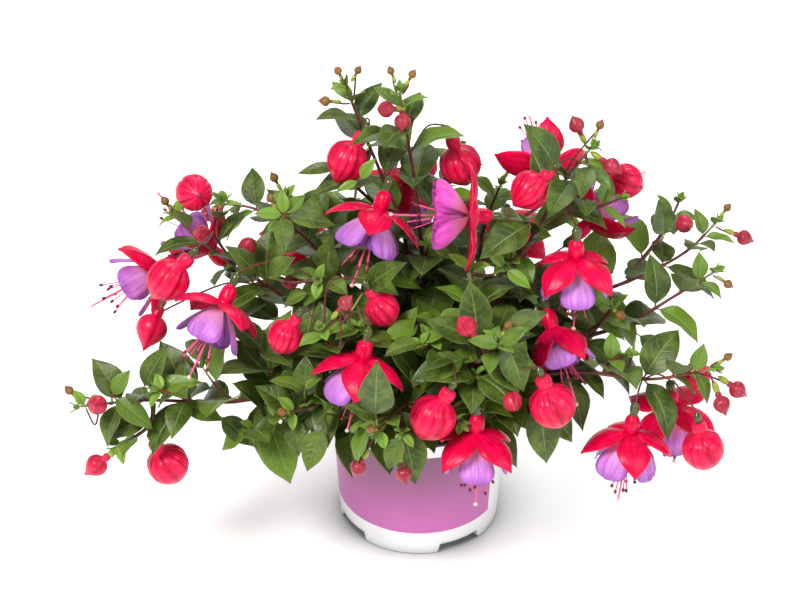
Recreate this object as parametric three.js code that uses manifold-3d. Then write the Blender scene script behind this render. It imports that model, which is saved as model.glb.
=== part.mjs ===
// A bushy trailing fuchsia in a 12 cm plastic nursery pot, in millimetres.
// +Z is up, the origin is the centre of the pot's flat base, and -Y is the plant's front.
// Each shoot, each colour of each open bloom and each big bud is one closed body.
import * as THREE from "three";
import { mergeVertices } from "three/addons/utils/BufferGeometryUtils.js";
import Module from "manifold-3d";

const wasm = await Module();
wasm.setup();

// ---- driving dimensions ----------------------------------------------------------------------
const GAP = 0.35; // kept between two pieces that meet
const ROOT_GAP = 0.04; // from a stem's side to where what grows from it must be clear of everything

const POT = {
  height: 96,
  baseRadius: 52,
  wallTopRadius: 57.4,
  rimRadius: 60,
  rimDepth: 3,
  wall: 1.2,
  floor: 1.5,
  sides: 24,
  footArch: { inner: 38, height: 7, spread: 34.5, first: 30.75 }, // degrees; 0 is +X
  drain: { radius: 4, at: 45 },
};

const SOIL = { top: 86, bottom: 9.5, bumps: 1.2, sides: 12 };

const STEM = {
  base: 2.6,
  tip: 1.1,
  branchBase: 1.8,
  samples: 6, // of the curve between two points of a stem's route
  bandHeight: 2.2, // of the band of stem that a pair of leaves grows from
  longest: 26, // run between two rings of bare stem
  branchBare: 8,
  clearOfSoil: 6,
  sideOut: 2, // least run out from a stem's middle of the first ring of what grows on its side
};
const STALK = {
  radius: 0.95,
  bends: [0, 4, -4, 8, -8, 12, -12], // sideways, tried in turn
  sidesTried: 8,
};
const OVARY = { length: 9, radius: 2.9, budShare: 0.8 };

// Leaf pairs, counted back from the tip of a stem: the gap before each pair and its leaf's length.
const PAIR_GAPS = [4.5, 10, 14, 18, 24, 27, 29];
const LEAF_LENGTHS = [13, 21, 31, 39, 44, 46, 47];
const LEAF = {
  width: 0.57, // of its length
  thick: 1.3,
  fold: 0.2,
  spread: 0.62, // how far a leaf turns from its stem's direction
  follow: 0.35, // how far its upper face turns to its stem's tip
  rise: 20,
  droop: 52,
  clear: 0.45, // kept all round a leaf
};
// Where a blade is measured: part of its length, half-width as part of its width, part of thickness.
// A leaf shorter than upTo has that outline, so that small leaves are plainer.
const LEAF_OUTLINES = [
  { upTo: 22, outline: [[0.42, 0.5, 1], [1, 0, 0]] },
  { upTo: 99, outline: [[0.36, 0.5, 1], [0.72, 0.34, 0.9], [1, 0, 0]] },
];
const SEPAL_OUTLINE = [[0.4, 0.5, 1], [0.76, 0.36, 0.9], [1, 0, 0]];
const PETAL_OUTLINE = [[0.6, 0.5, 1], [1, 0.36, 0.7]];
const INNER_PETAL_OUTLINE = [[1, 0.5, 0.8]];

const BLOOM = {
  tube: [[-12, 3.2], [-8.5, 4.6]], // place along the axis, radius
  rim: { reach: 4.8, depth: 0.8 },
  sepal: { root: [0, 3], length: 33, width: 22, thick: 1.2, fold: -0.2, outline: SEPAL_OUTLINE },
  outer: {
    root: [2.2, 2.6], length: 28, width: 18.5, thick: 1, fold: -0.16, from: 52, to: 14,
    rim: { run: 2.2, reach: 3.4, depth: 0.7 }, outline: PETAL_OUTLINE,
  },
  inner: {
    root: [4.6, 2.4], length: 20, width: 10, thick: 1, fold: -0.16, from: 30, to: 0,
    rim: { run: 4.8, reach: 3.1, depth: 0.7 }, outline: INNER_PETAL_OUTLINE,
  },
  collar: { bore: 2.2, start: 1.2, end: 6.4 },
  column: { radius: 1.5, length: 9 },
  filaments: { end: 34, reach: [5.4, 4.2], anther: 1.2 },
  style: { end: 50, knob: 1.2 },
};

// A closed balloon bud: place along its axis and radius, both as parts of its largest radius.
const BUD_PROFILE = [[-0.56, 0.32], [-0.02, 0.34], [0.34, 0.84], [1, 1], [1.62, 0.72], [2.15, 0]];
const BUD = { sides: 8, groove: 0.94 };
const SMALL_BUD_PROFILE = [[0, 0.35], [1, 1], [2.6, 0]];

// ---- where things grow -----------------------------------------------------------------------
// Each shoot: its stem from the soil to the tip, its side branches, and its small buds, each given
// by its middle and its radius. bare is the stretch of stem from the soil that holds no leaves.
const SHOOTS = [
  {
    name: "shoot_top_left",
    stem: [[-8, 8, 58], [-7, 8, 120], [-9, 7, 205], [-24, 12, 252], [-36, 15, 284], [-46, 15, 316]],
    branches: [[[-10, 8, 212], [-30, 22, 226], [-48, 34, 238]]],
    bare: 105,
    smallBuds: [[-58, 12, 305, 3.2], [-50, 11, 327, 2.6], [-38, 20, 322, 2.4]],
  },
  {
    name: "shoot_top",
    stem: [[6, 10, 58], [4, 8, 130], [2, 0, 193], [-2, 0, 242], [-7, 0, 280], [-13, 0, 321]],
    branches: [[[2, 1, 200], [14, 24, 230], [26, 38, 256]]],
    bare: 105,
    smallBuds: [[-21, -9, 312, 5.2], [-11, -9, 303, 5.2], [-5, 5, 328, 2.6], [-18, 4, 331, 2.4]],
  },
  {
    name: "shoot_right_high",
    stem: [[20, 6, 58], [34, 0, 130], [56, -8, 184], [73, -8, 226], [91, 0, 259], [106, 5, 278]],
    branches: [
      [[66, -8, 208], [62, -34, 224], [53, -50, 226]],
      [[82, -4, 243], [104, -16, 246], [124, -14, 252]],
    ],
    bare: 100,
    smallBuds: [[95, 4, 293, 5], [117, -4, 268, 5.5], [110, 12, 288, 2.8]],
  },
  {
    name: "shoot_right_back",
    stem: [[24, 18, 58], [48, 18, 122], [86, 12, 152], [131, 12, 171], [168, 24, 185], [190, 35, 203]],
    branches: [[[140, 14, 174], [156, 34, 196], [166, 44, 214]]],
    bare: 45,
    smallBuds: [[167, 22, 209, 6], [207, 33, 191, 5], [196, 42, 208, 2.6]],
  },
  {
    name: "shoot_right_mid",
    stem: [[30, -8, 58], [52, -16, 120], [86, -28, 150], [128, -30, 168], [159, -28, 189], [184, -25, 206]],
    branches: [[[104, -30, 159], [112, -44, 180], [118, -54, 200]]],
    bare: 45,
    smallBuds: [[190, -32, 200, 2.8], [122, -60, 196, 3]],
  },
  {
    name: "shoot_right_low",
    stem: [[22, -24, 58], [40, -40, 118], [74, -58, 149], [101, -66, 158], [140, -74, 158], [180, -82, 172]],
    branches: [[[104, -67, 158], [115, -75, 172], [126, -80, 182]]],
    bare: 42,
    smallBuds: [[184, -90, 151, 5.4], [194, -82, 156, 5.4], [172, -54, 146, 9], [187, -78, 178, 2.6]],
  },
  {
    name: "shoot_left_low",
    stem: [
      [-22, -18, 58], [-40, -36, 114], [-75, -62, 139], [-120, -76, 142], [-168, -86, 151], [-209, -94, 152],
    ],
    branches: [
      [[-146, -81, 147], [-166, -92, 136], [-187, -100, 124]],
      [[-128, -78, 144], [-146, -94, 160], [-160, -100, 170]],
    ],
    bare: 42,
    smallBuds: [[-196, -100, 158, 6.2], [-199, -102, 113, 7], [-214, -88, 160, 2.8]],
  },
  {
    name: "shoot_left_mid",
    stem: [[-28, 4, 58], [-46, -6, 126], [-72, -16, 168], [-104, -20, 198], [-126, -6, 216], [-121, 6, 238]],
    branches: [[[-112, -17, 203], [-134, -10, 216], [-154, 2, 230]]],
    bare: 45,
    smallBuds: [[-134, -24, 232, 5.5], [-106, -22, 222, 5.5], [-158, 2, 239, 2.8], [-166, -46, 176, 10]],
  },
  {
    name: "shoot_left_high",
    stem: [[-20, -8, 58], [-28, -8, 130], [-46, -12, 185], [-68, -18, 222], [-88, -20, 242]],
    branches: [[[-48, -12, 188], [-56, -38, 208], [-62, -62, 224]]],
    bare: 60,
    smallBuds: [[-79, -50, 214, 4.8], [-92, -12, 250, 2.6]],
  },
  {
    name: "shoot_front_left",
    stem: [[-12, -30, 58], [-24, -46, 122], [-46, -66, 168], [-56, -82, 192], [-60, -95, 212]],
    branches: [[[-26, -58, 144], [-56, -84, 152], [-80, -104, 154]]],
    bare: 34,
    smallBuds: [[-45, -91, 227, 4.8], [-84, -110, 160, 3]],
  },
  {
    name: "shoot_front",
    stem: [[0, -34, 58], [-2, -54, 120], [-8, -82, 146], [-16, -104, 154], [-27, -119, 150]],
    branches: [
      [[-4, -60, 128], [3, -72, 165], [6, -85, 198]],
      [[-6, -76, 142], [12, -90, 148], [26, -106, 148]],
    ],
    bare: 34,
    smallBuds: [[-38, -118, 124, 5], [-10, -122, 122, 5], [-30, -124, 158, 2.8]],
  },
  {
    name: "shoot_front_right",
    stem: [[12, -30, 58], [20, -46, 122], [30, -70, 160], [39, -92, 188], [46, -101, 206]],
    branches: [
      [[30, -70, 161], [34, -58, 192], [31, -46, 224]],
      [[22, -52, 132], [46, -80, 162], [62, -98, 190]],
    ],
    bare: 34,
    smallBuds: [[27, -99, 216, 6.5], [55, -110, 168, 6.3], [52, -96, 214, 2.8]],
  },
  {
    name: "shoot_back_left",
    stem: [[-20, 22, 58], [-36, 42, 122], [-70, 66, 160], [-104, 84, 178], [-132, 96, 176]],
    branches: [
      [[-46, 50, 134], [-44, 84, 172], [-40, 108, 194]],
      [[-54, 56, 144], [-76, 40, 192], [-86, 36, 222]],
    ],
    bare: 42,
    smallBuds: [[-140, 98, 166, 5], [-34, 114, 204, 3], [-92, 40, 232, 3]],
  },
  {
    name: "shoot_back_right",
    stem: [[10, 30, 58], [24, 52, 122], [52, 76, 160], [86, 96, 178], [116, 110, 174]],
    branches: [
      [[20, 46, 118], [14, 84, 160], [6, 118, 178]],
      [[32, 60, 134], [42, 54, 186], [52, 50, 222]],
    ],
    bare: 42,
    smallBuds: [[124, 114, 163, 5], [0, 126, 186, 3], [58, 54, 232, 3]],
  },
];

// Each open bloom: the shoot it hangs from, the middle of its mouth, where the mouth points, the
// turn of its sepals, and the angle of a sepal from the axis at its root and at its tip. flare is
// how many degrees further out its petals stand.
const BLOOMS = [
  { on: "shoot_top_left", mouth: [-25, -34, 256], axis: [-0.35, -0.45, -0.85], turn: 13, curl: [100, 24] },
  {
    on: "shoot_right_high", mouth: [31, -42, 257], axis: [-1, -0.03, 0.04], turn: 35, curl: [116, 48],
    flare: 8,
  },
  { on: "shoot_top", mouth: [-8, 44, 228], axis: [0.1, 0.3, -1], turn: 30, curl: [80, 60] },
  { on: "shoot_right_high", mouth: [94, -50, 232], axis: [0, -0.12, -1], turn: 42, curl: [95, 18] },
  { on: "shoot_right_high", mouth: [106, 20, 210], axis: [0.73, 0.47, 0.5], turn: 17, curl: [84, 34] },
  { on: "shoot_left_mid", mouth: [-161, -18, 202], axis: [-0.88, -0.27, -0.39], turn: 77, curl: [82, 38] },
  { on: "shoot_left_high", mouth: [-119, -70, 212], axis: [-0.42, -0.56, -0.71], turn: 72, curl: [104, 32] },
  { on: "shoot_front_left", mouth: [-35, -100, 193], axis: [-0.2, -0.2, -1], turn: 4, curl: [96, 14] },
  { on: "shoot_front_right", mouth: [34, -104, 140], axis: [0, -0.2, -1], turn: 45, curl: [88, 26] },
  { on: "shoot_right_low", mouth: [129, -92, 131], axis: [-0.12, -0.12, -1], turn: 84, curl: [95, 18] },
  { on: "shoot_right_low", mouth: [158, -50, 120], axis: [0.1, 0.1, -1], turn: 40, curl: [92, 50] },
  { on: "shoot_right_mid", mouth: [81, -56, 184], axis: [0.3, -0.62, -0.75], turn: 40, curl: [72, -6] },
  { on: "shoot_left_mid", mouth: [-131, 10, 197], axis: [-0.68, 0.33, 0.65], turn: 69, curl: [80, 34] },
  { on: "shoot_right_high", mouth: [78, 25, 249], axis: [-0.15, 0.9, 0.15], turn: 6, curl: [104, 20] },
  { on: "shoot_back_left", mouth: [-76, 100, 150], axis: [-0.2, 0.2, -1], turn: 15, curl: [92, 26] },
  { on: "shoot_back_right", mouth: [60, 112, 148], axis: [0.1, 0.25, -1], turn: 40, curl: [90, 30] },
];

// Each big bud: its shoot, the middle of the balloon, where its point faces, and its radius.
const BUDS = [
  { on: "shoot_top_left", middle: [-45, 2, 268], axis: [-0.5, -0.36, -0.8], radius: 13 },
  { on: "shoot_top", middle: [25, 12, 259], axis: [0.3, -0.1, -1], radius: 13 },
  { on: "shoot_left_mid", middle: [-139, -4, 249], axis: [0.3, -0.85, 0.4], radius: 11.5 },
  { on: "shoot_left_mid", middle: [-153, -60, 222], axis: [-0.7, -0.3, -0.7], radius: 13 },
  { on: "shoot_front_left", middle: [-82, -84, 197], axis: [-0.5, -0.1, -0.9], radius: 10.5 },
  { on: "shoot_front_left", middle: [-23, -70, 207], axis: [0.5, -0.1, -0.9], radius: 10.5 },
  { on: "shoot_front", middle: [7, -112, 157], axis: [-0.5, -0.15, -0.9], radius: 14 },
  { on: "shoot_front_right", middle: [80, -104, 160], axis: [0.35, -0.1, -1], radius: 14 },
  { on: "shoot_left_low", middle: [-156, -90, 104], axis: [0.4, 0, -0.9], radius: 13 },
  { on: "shoot_right_low", middle: [175, -88, 114], axis: [0.2, -0.1, -1], radius: 13 },
  { on: "shoot_right_high", middle: [66, -25, 264], axis: [-0.75, -0.5, -0.5], radius: 12 },
  { on: "shoot_right_high", middle: [128, 12, 247], axis: [0.9, 0.1, -0.5], radius: 11 },
];

// ---- solids ----------------------------------------------------------------------------------
const vector = (p) => new THREE.Vector3(...p);
const radians = THREE.MathUtils.degToRad;
const mix = THREE.MathUtils.lerp;
const UP = new THREE.Vector3(0, 0, 1);

// A manifold-3d solid from a three.js geometry, with its shared vertices merged.
function solidFromGeometry(geometry) {
  const bare = geometry.clone().deleteAttribute("normal").deleteAttribute("uv");
  const merged = mergeVertices(bare, 1e-4);
  return new wasm.Manifold(
    new wasm.Mesh({
      numProp: 3,
      vertProperties: new Float32Array(merged.attributes.position.array),
      triVerts: new Uint32Array(merged.index.array),
    }),
  );
}

// A closed surface that grows ring by ring. A ring is a list of point numbers, counterclockwise
// seen from where the growth goes. A side of a band can be left open, and is then itself a ring
// from which a leaf, a stalk, a sepal or a petal grows.
class Skin {
  points = [];
  faces = [];

  ring(points) {
    const start = this.points.length;
    this.points.push(...points);
    return points.map((_, k) => start + k);
  }

  // Neighbouring quads split towards each other, so that a thin blade's two faces split alike.
  side(low, high, k) {
    const next = (k + 1) % low.length;
    const [a, b, c, d] = [low[k], low[next], high[next], high[k]];
    if (k % 2 === 0) this.faces.push([a, b, c], [a, c, d]);
    else this.faces.push([a, b, d], [b, c, d]);
  }

  band(low, high, open = []) {
    low.forEach((_, k) => open.includes(k) || this.side(low, high, k));
    return open.map((k) => {
      const next = (k + 1) % low.length;
      return [low[k], low[next], high[next], high[k]];
    });
  }

  tip(ring, point) {
    const [top] = this.ring([point]);
    ring.forEach((a, k) => this.faces.push([a, ring[(k + 1) % ring.length], top]));
  }

  cap(ring, facesBack = false) {
    for (let k = 1; k + 1 < ring.length; k++) {
      const face = [ring[0], ring[k], ring[k + 1]];
      this.faces.push(facesBack ? face.reverse() : face);
    }
  }

  // A ring started from the point that lies best under a list of places, so that the band between
  // them doesn't twist.
  facing(ring, places) {
    if (places.length !== ring.length) return ring;
    const starts = ring.map((_, k) => [...ring.slice(k), ...ring.slice(0, k)]);
    const apart = (at, k) => this.points[at].distanceToSquared(places[k]);
    const twist = (list) => list.reduce((sum, at, k) => sum + apart(at, k), 0);
    return starts.reduce((best, list) => (twist(list) < twist(best) ? list : best));
  }

  // Grows on from a ring through lists of points. The last list may be a single point, a tip.
  grow(ring, lists) {
    let low = this.facing(ring, lists[0]);
    for (const points of lists) {
      if (points.length === 1) return this.tip(low, points[0]);
      const high = this.ring(points);
      this.band(low, high);
      low = high;
    }
    return this.cap(low);
  }

  solid() {
    return new wasm.Manifold(
      new wasm.Mesh({
        numProp: 3,
        vertProperties: new Float32Array(this.points.flatMap((p) => p.toArray())),
        triVerts: new Uint32Array(this.faces.flat()),
      }),
    );
  }
}

// A closed solid through lists of points, such as rings round an axis.
function solidThrough(lists) {
  const skin = new Skin();
  const first = skin.ring(lists[0]);
  skin.cap(first, true);
  skin.grow(first, lists.slice(1));
  return skin.solid();
}

// ---- curves and rings ------------------------------------------------------------------------
// A stem's line: evenly stepped points on a smooth curve, with the length run at each.
function lineThrough(route, samples) {
  const curve = new THREE.CatmullRomCurve3(route.map(vector), false, "catmullrom", 0.5);
  const points = curve.getPoints((route.length - 1) * samples);
  const runs = [0];
  for (let i = 1; i < points.length; i++) runs.push(runs[i - 1] + points[i].distanceTo(points[i - 1]));
  return { points, runs, length: runs.at(-1) };
}

// The place and the direction of a line at a length run along it.
function along(line, run) {
  const last = line.points.length - 1;
  let i = 1;
  while (i < last && line.runs[i] < run) i++;
  const part = (run - line.runs[i - 1]) / (line.runs[i] - line.runs[i - 1]);
  return {
    place: line.points[i - 1].clone().lerp(line.points[i], part),
    direction: line.points[i].clone().sub(line.points[i - 1]).normalize(),
  };
}

// Two directions at right angles to an axis and to each other.
function sidesOf(axis) {
  const from = Math.abs(axis.y) > 0.9 ? new THREE.Vector3(1, 0, 0) : new THREE.Vector3(0, 1, 0);
  const first = axis.clone().cross(from).normalize();
  return [first, axis.clone().cross(first).normalize()];
}

function ringAround(middle, [first, second], radius, sides, groove = 1) {
  return Array.from({ length: sides }, (_, k) => {
    const turn = (2 * Math.PI * k) / sides;
    const reach = k % 2 ? radius * groove : radius;
    return middle
      .clone()
      .addScaledVector(first, reach * Math.cos(turn))
      .addScaledVector(second, reach * Math.sin(turn));
  });
}

// A solid turned about an axis: profile gives places along the axis and radii, in units of size.
function turned(origin, axis, profile, size, sides, groove = 1) {
  const frame = sidesOf(axis);
  return solidThrough(
    profile.map(([place, radius]) => {
      const middle = origin.clone().addScaledVector(axis, place * size);
      return radius === 0 ? [middle] : ringAround(middle, frame, radius * size, sides, groove);
    }),
  );
}

// The rings of a blade, as left edge, underside, right edge and upper side. It leaves root at an
// angle of from degrees between forward and outward, turns to the angle to at its tip, and is a
// shallow V across, with its edges lifted by fold times half-width.
function bladeRings({ root, forward, outward, from, to, length, width, thick, fold, outline, extra = 0 }) {
  const [a, b] = [radians(from), radians(to)];
  const across = forward.clone().cross(outward).normalize();
  return outline.map(([part, half, thickness]) => {
    const angle = mix(a, b, part);
    const middle = root
      .clone()
      .addScaledVector(forward, (length * (Math.sin(angle) - Math.sin(a))) / (b - a))
      .addScaledVector(outward, (length * (Math.cos(a) - Math.cos(angle))) / (b - a));
    if (half === 0) {
      middle.addScaledVector(forward, extra * Math.cos(b)).addScaledVector(outward, extra * Math.sin(b));
      return [middle];
    }
    const normal = forward.clone().multiplyScalar(-Math.sin(angle)).addScaledVector(outward, Math.cos(angle));
    const reach = half * width + extra;
    const rise = (thick * thickness) / 2 + extra;
    const edge = (side) =>
      middle.clone().addScaledVector(across, side * reach).addScaledVector(normal, fold * half * width);
    return [
      edge(1),
      middle.clone().addScaledVector(normal, -rise),
      edge(-1),
      middle.clone().addScaledVector(normal, rise),
    ];
  });
}

// ---- blooms and buds -------------------------------------------------------------------------
// A bloom's own frame: places run along the axis from the mouth, and reach out from it at a turn.
function bloomFrame(bloom) {
  const mouth = vector(bloom.mouth);
  const axis = vector(bloom.axis).normalize();
  const frame = sidesOf(axis);
  const radial = (degrees) =>
    frame[0]
      .clone()
      .multiplyScalar(Math.cos(radians(degrees)))
      .addScaledVector(frame[1], Math.sin(radians(degrees)));
  const at = (run, reach, degrees) =>
    mouth.clone().addScaledVector(axis, run).addScaledVector(radial(degrees), reach);
  return { axis, radial, at };
}

// Eight points round a bloom's axis: between its four blades at even places, under them at odd.
const eight = ({ at }, turn, between, middle) =>
  Array.from({ length: 8 }, (_, k) => {
    const [run, reach] = k % 2 ? middle : between;
    return at(run, reach, turn - 45 + 45 * k);
  });

// Four blades that grow out of a rim. The rim is two rings of eight that share their even points.
function fourBlades(skin, bloom, turn, upper, lower, shape) {
  for (let k = 0; k < 4; k++) {
    const outward = bloom.radial(turn + 90 * k);
    const root = bloom.at(shape.root[0], shape.root[1], turn + 90 * k);
    const rings = bladeRings({ ...shape, root, forward: bloom.axis, outward });
    const left = 2 * k;
    const right = (2 * k + 2) % 8;
    skin.grow([upper[right], lower[left + 1], upper[left], upper[left + 1]], rings);
  }
}

// The red part of a bloom: its tube, four sepals, and the stamens and style on one column.
function calyx(bloom) {
  const frame = bloomFrame(bloom);
  const { sepal, tube, rim, column, filaments, style } = BLOOM;
  const skin = new Skin();
  const rings = tube.map(([run, reach]) => skin.ring(eight(frame, bloom.turn, [run, reach], [run, reach])));
  skin.cap(rings[0], true);
  rings.slice(1).forEach((ring, i) => skin.band(rings[i], ring));
  const upper = skin.ring(eight(frame, bloom.turn, [0, rim.reach], [-rim.depth, rim.reach]));
  skin.band(rings.at(-1), upper);
  const lower = upper.map((point, k) =>
    k % 2 ? skin.ring([frame.at(rim.depth, rim.reach, bloom.turn - 45 + 45 * k)])[0] : point,
  );
  const [from, to] = bloom.curl;
  fourBlades(skin, frame, bloom.turn, upper, lower, { ...sepal, from, to });
  const foot = skin.ring(eight(frame, bloom.turn, [rim.depth, column.radius], [rim.depth, column.radius]));
  const tip = [column.length, column.radius];
  const end = skin.ring(eight(frame, bloom.turn, tip, tip));
  skin.band(lower, foot);
  skin.band(foot, end);
  for (let k = 0; k < 4; k++) {
    const turn = bloom.turn + 90 * k;
    const reach = filaments.reach[k % 2];
    const anther = [-120, 0, 120].map((degrees) =>
      frame.at(filaments.end - 2.6 * (k % 2), reach, turn).add(
        frame.radial(turn + degrees).multiplyScalar(filaments.anther),
      ),
    );
    const tip = frame.at(filaments.end - 2.6 * (k % 2) + 2, reach + 0.3, turn);
    skin.grow([end[2 * k], end[2 * k + 1], end[(2 * k + 2) % 8]], [anther, [tip]]);
  }
  const knob = [0, 1, 2, 3].map((k) => frame.at(style.end - 2, style.knob, bloom.turn - 45 + 90 * k));
  skin.grow([end[0], end[2], end[4], end[6]], [knob, [frame.at(style.end, 0, 0)]]);
  return skin.solid();
}

// The violet part of a bloom: an outer and an inner layer of petals on a collar that leaves room
// for the stamens' column.
function corolla(bloom) {
  const frame = bloomFrame(bloom);
  const { collar, outer, inner } = BLOOM;
  const flare = bloom.flare ?? 0;
  const skin = new Skin();
  const plain = (run, reach) => skin.ring(eight(frame, bloom.turn + 45, [run, reach], [run, reach]));
  const start = plain(collar.start, collar.bore);
  let low = start;
  for (const layer of [outer, inner]) {
    const turn = bloom.turn + 45;
    const { rim } = layer;
    const upper = skin.ring(eight(frame, turn, [rim.run, rim.reach], [rim.run - rim.depth, rim.reach]));
    skin.band(low, upper);
    low = upper.map((point, k) =>
      k % 2 ? skin.ring([frame.at(rim.run + rim.depth, rim.reach, turn - 45 + 45 * k)])[0] : point,
    );
    fourBlades(skin, frame, turn, upper, low, { ...layer, from: layer.from + flare, to: layer.to + flare });
  }
  const end = plain(collar.end, collar.bore);
  skin.band(low, end);
  skin.band(end, start);
  return skin.solid();
}

function balloonBud(bud) {
  const axis = vector(bud.axis).normalize();
  const neck = vector(bud.middle).addScaledVector(axis, -bud.radius);
  return turned(neck, axis, BUD_PROFILE, bud.radius, BUD.sides, BUD.groove);
}

// ---- shoots ----------------------------------------------------------------------------------
// A fixed draw between 0 and 1: an integer hash of which stem, which leaf and what the draw is for.
function draw(stem, leaf, use) {
  let h = (stem * 7919 + leaf * 104729 + use * 1299709) >>> 0;
  h = Math.imul(h ^ (h >>> 15), 2246822519) >>> 0;
  h = Math.imul(h ^ (h >>> 13), 3266489917) >>> 0;
  return ((h ^ (h >>> 16)) >>> 0) / 4294967296;
}

// How a leaf may be moved when its first place is taken: more rise, more turn, and its scale.
const CHOICES = [
  [0, 0, 1], [16, 0, 1], [-16, 0, 1], [0, 22, 1], [0, -22, 1], [14, 18, 0.85], [-14, -18, 0.85],
  [26, -14, 0.85], [-28, 14, 0.85], [20, 34, 0.7], [-22, -34, 0.7], [36, 0, 0.7], [-36, 0, 0.7],
];

// A frame, two directions across an axis, tilted with the axis to a new direction, without a twist.
function carriedFrame(direction, [first, second]) {
  const tilt = new THREE.Quaternion().setFromUnitVectors(first.clone().cross(second).normalize(), direction);
  return [first.clone().applyQuaternion(tilt), second.clone().applyQuaternion(tilt)];
}

const sideNormal = ([first, second], k) =>
  first
    .clone()
    .multiplyScalar(Math.cos(radians(45 + 90 * k)))
    .addScaledVector(second, Math.sin(radians(45 + 90 * k)));

// The rings of a leaf on side k of a stem, after the one it grows from, or of one that is fatter all
// round by a clearance.
function leafRings(stem, band, side, choice, clear = 0) {
  const { place, direction, frame } = band;
  const [rise, turn, scale] = choice;
  const leaf = 4 * band.pair + side;
  const pairNumber = Math.min(band.pair, LEAF_LENGTHS.length - 1);
  const length = LEAF_LENGTHS[pairNumber] * (0.88 + 0.24 * draw(stem.number, leaf, 1)) * scale;
  const swing = 24 * (draw(stem.number, leaf, 2) - 0.5) + turn;
  const droop = LEAF.droop * (0.6 + 0.8 * draw(stem.number, leaf, 3));
  const forward = sideNormal(frame, side)
    .applyAxisAngle(direction, radians(swing))
    .multiplyScalar(LEAF.spread)
    .addScaledVector(direction, 1 - LEAF.spread)
    .normalize();
  const outward = UP.clone().addScaledVector(direction, LEAF.follow).projectOnPlane(forward).normalize();
  const { outline } = LEAF_OUTLINES.find(({ upTo }) => length < upTo);
  return bladeRings({
    root: place,
    forward,
    outward,
    from: LEAF.rise + rise,
    to: LEAF.rise + rise - droop,
    length,
    width: length * LEAF.width,
    thick: LEAF.thick,
    fold: LEAF.fold,
    outline,
    extra: clear,
  });
}

// A stem is four-sided, and grows through rings. Its bands each carry a pair of leaves on two
// opposite sides, and leave the other two sides for branches and flower stalks.
function layOutStem({ number, route, radius, bare, frame, start = 0 }) {
  const line = lineThrough(route, STEM.samples);
  const stem = { number, line, radius, bands: [], runs: [] };
  let run = line.length;
  for (let pair = 0; ; pair++) {
    run -= PAIR_GAPS[Math.min(pair, PAIR_GAPS.length - 1)];
    if (run < bare) break;
    stem.bands.unshift({ run, pair, sides: new Map() });
  }
  let reached = start;
  for (const band of stem.bands) {
    for (; band.run - reached > 1.4 * STEM.longest; stem.runs.push(reached)) reached += STEM.longest;
    band.ring = stem.runs.length;
    reached = band.run + STEM.bandHeight / 2;
    stem.runs.push(reached - STEM.bandHeight, reached);
  }
  let carried = frame;
  stem.rings = stem.runs.map((at) => {
    const { place, direction } = along(line, at);
    carried = carriedFrame(direction, carried);
    return { frame: carried, points: ringAround(place, carried, mix(radius, STEM.tip, at / line.length), 4) };
  });
  for (const band of stem.bands) {
    Object.assign(band, along(line, band.run), { frame: stem.rings[band.ring].frame });
  }
  return stem;
}

const leafSides = (band) => (band.pair % 2 ? [1, 3] : [0, 2]);

// The sides of stems that hold nothing, those that are near to a target and face it first.
function openSides(stems, target) {
  const open = [];
  for (const stem of stems) {
    for (const band of stem.bands) {
      const way = target.clone().sub(band.place);
      const ahead = way.clone().normalize();
      for (const side of [0, 1, 2, 3]) {
        if (band.sides.has(side) || leafSides(band).includes(side)) continue;
        const facing = 0.3 * ahead.dot(band.direction) + 0.3 * ahead.dot(sideNormal(band.frame, side));
        open.push({ stem, band, side, cost: way.length() * (1.6 - facing) });
      }
    }
  }
  return open.sort((a, b) => a.cost - b.cost);
}

// Whether a ring lies out from a side of a stem, so that what grows to it doesn't turn back.
function isOut({ band, side }, ring) {
  const normal = sideNormal(band.frame, side);
  return ring.every((point) => point.clone().sub(band.place).dot(normal) > STEM.sideOut);
}

// The four points of a stem from which something grows on one side of a band, moved off the stem.
function offSide({ stem, band, side }) {
  const [low, high] = [stem.rings[band.ring].points, stem.rings[band.ring + 1].points];
  const next = (side + 1) % 4;
  const off = sideNormal(band.frame, side).multiplyScalar(ROOT_GAP);
  return [low[side], low[next], high[next], high[side]].map((point) => point.clone().add(off));
}

// The lists of points of a stalk with what it carries: profile gives places along the axis from
// the neck and radii.
function stalkRings({ band, side }, { neck, axis, profile }, sideways) {
  const start = band.place.clone().addScaledVector(sideNormal(band.frame, side), STEM.tip);
  const reach = start.distanceTo(neck);
  const way = neck.clone().sub(start).normalize();
  const behind = 0.16 + 0.6 * Math.max(0, -way.dot(axis));
  const bend = start
    .clone()
    .lerp(neck, 0.5)
    .addScaledVector(axis, -behind * reach)
    .addScaledVector(sideNormal(band.frame, side), 0.1 * reach)
    .addScaledVector(way.clone().cross(axis).normalize(), sideways);
  const [before, after] = [bend.clone().sub(start).normalize(), neck.clone().sub(bend).normalize()];
  const level = carriedFrame(before.add(after).normalize(), band.frame);
  const frame = carriedFrame(axis, level);
  return [
    ringAround(bend, level, STALK.radius, 4),
    ...profile.map(([run, radius]) => {
      const middle = neck.clone().addScaledVector(axis, run);
      return radius === 0 ? [middle] : ringAround(middle, frame, radius, 4);
    }),
  ];
}

// ---- the whole plant -------------------------------------------------------------------------
const solids = new Map(); // a node's name to its solid
const placed = []; // what stalks and leaves must keep clear of

function hold(node, solid) {
  placed.push({ node, solid, box: solid.boundingBox() });
}

const apart = (p, q) => [0, 1, 2].some((i) => p.min[i] > q.max[i] || q.min[i] > p.max[i]);

function isFree(solid) {
  const box = solid.boundingBox();
  return !placed.some((other) => !apart(box, other.box) && other.solid.intersect(solid).volume() > 0);
}

// The solids of a stem between its rings, from the points that it starts at.
function stemSolids(stem, start) {
  const rings = [start, ...stem.rings.map(({ points }) => points), [stem.line.points.at(-1)]];
  return rings.slice(1).map((ring, i) => solidThrough([rings[i], ring]));
}

const number = (k) => String(k + 1).padStart(2, "0");

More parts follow.
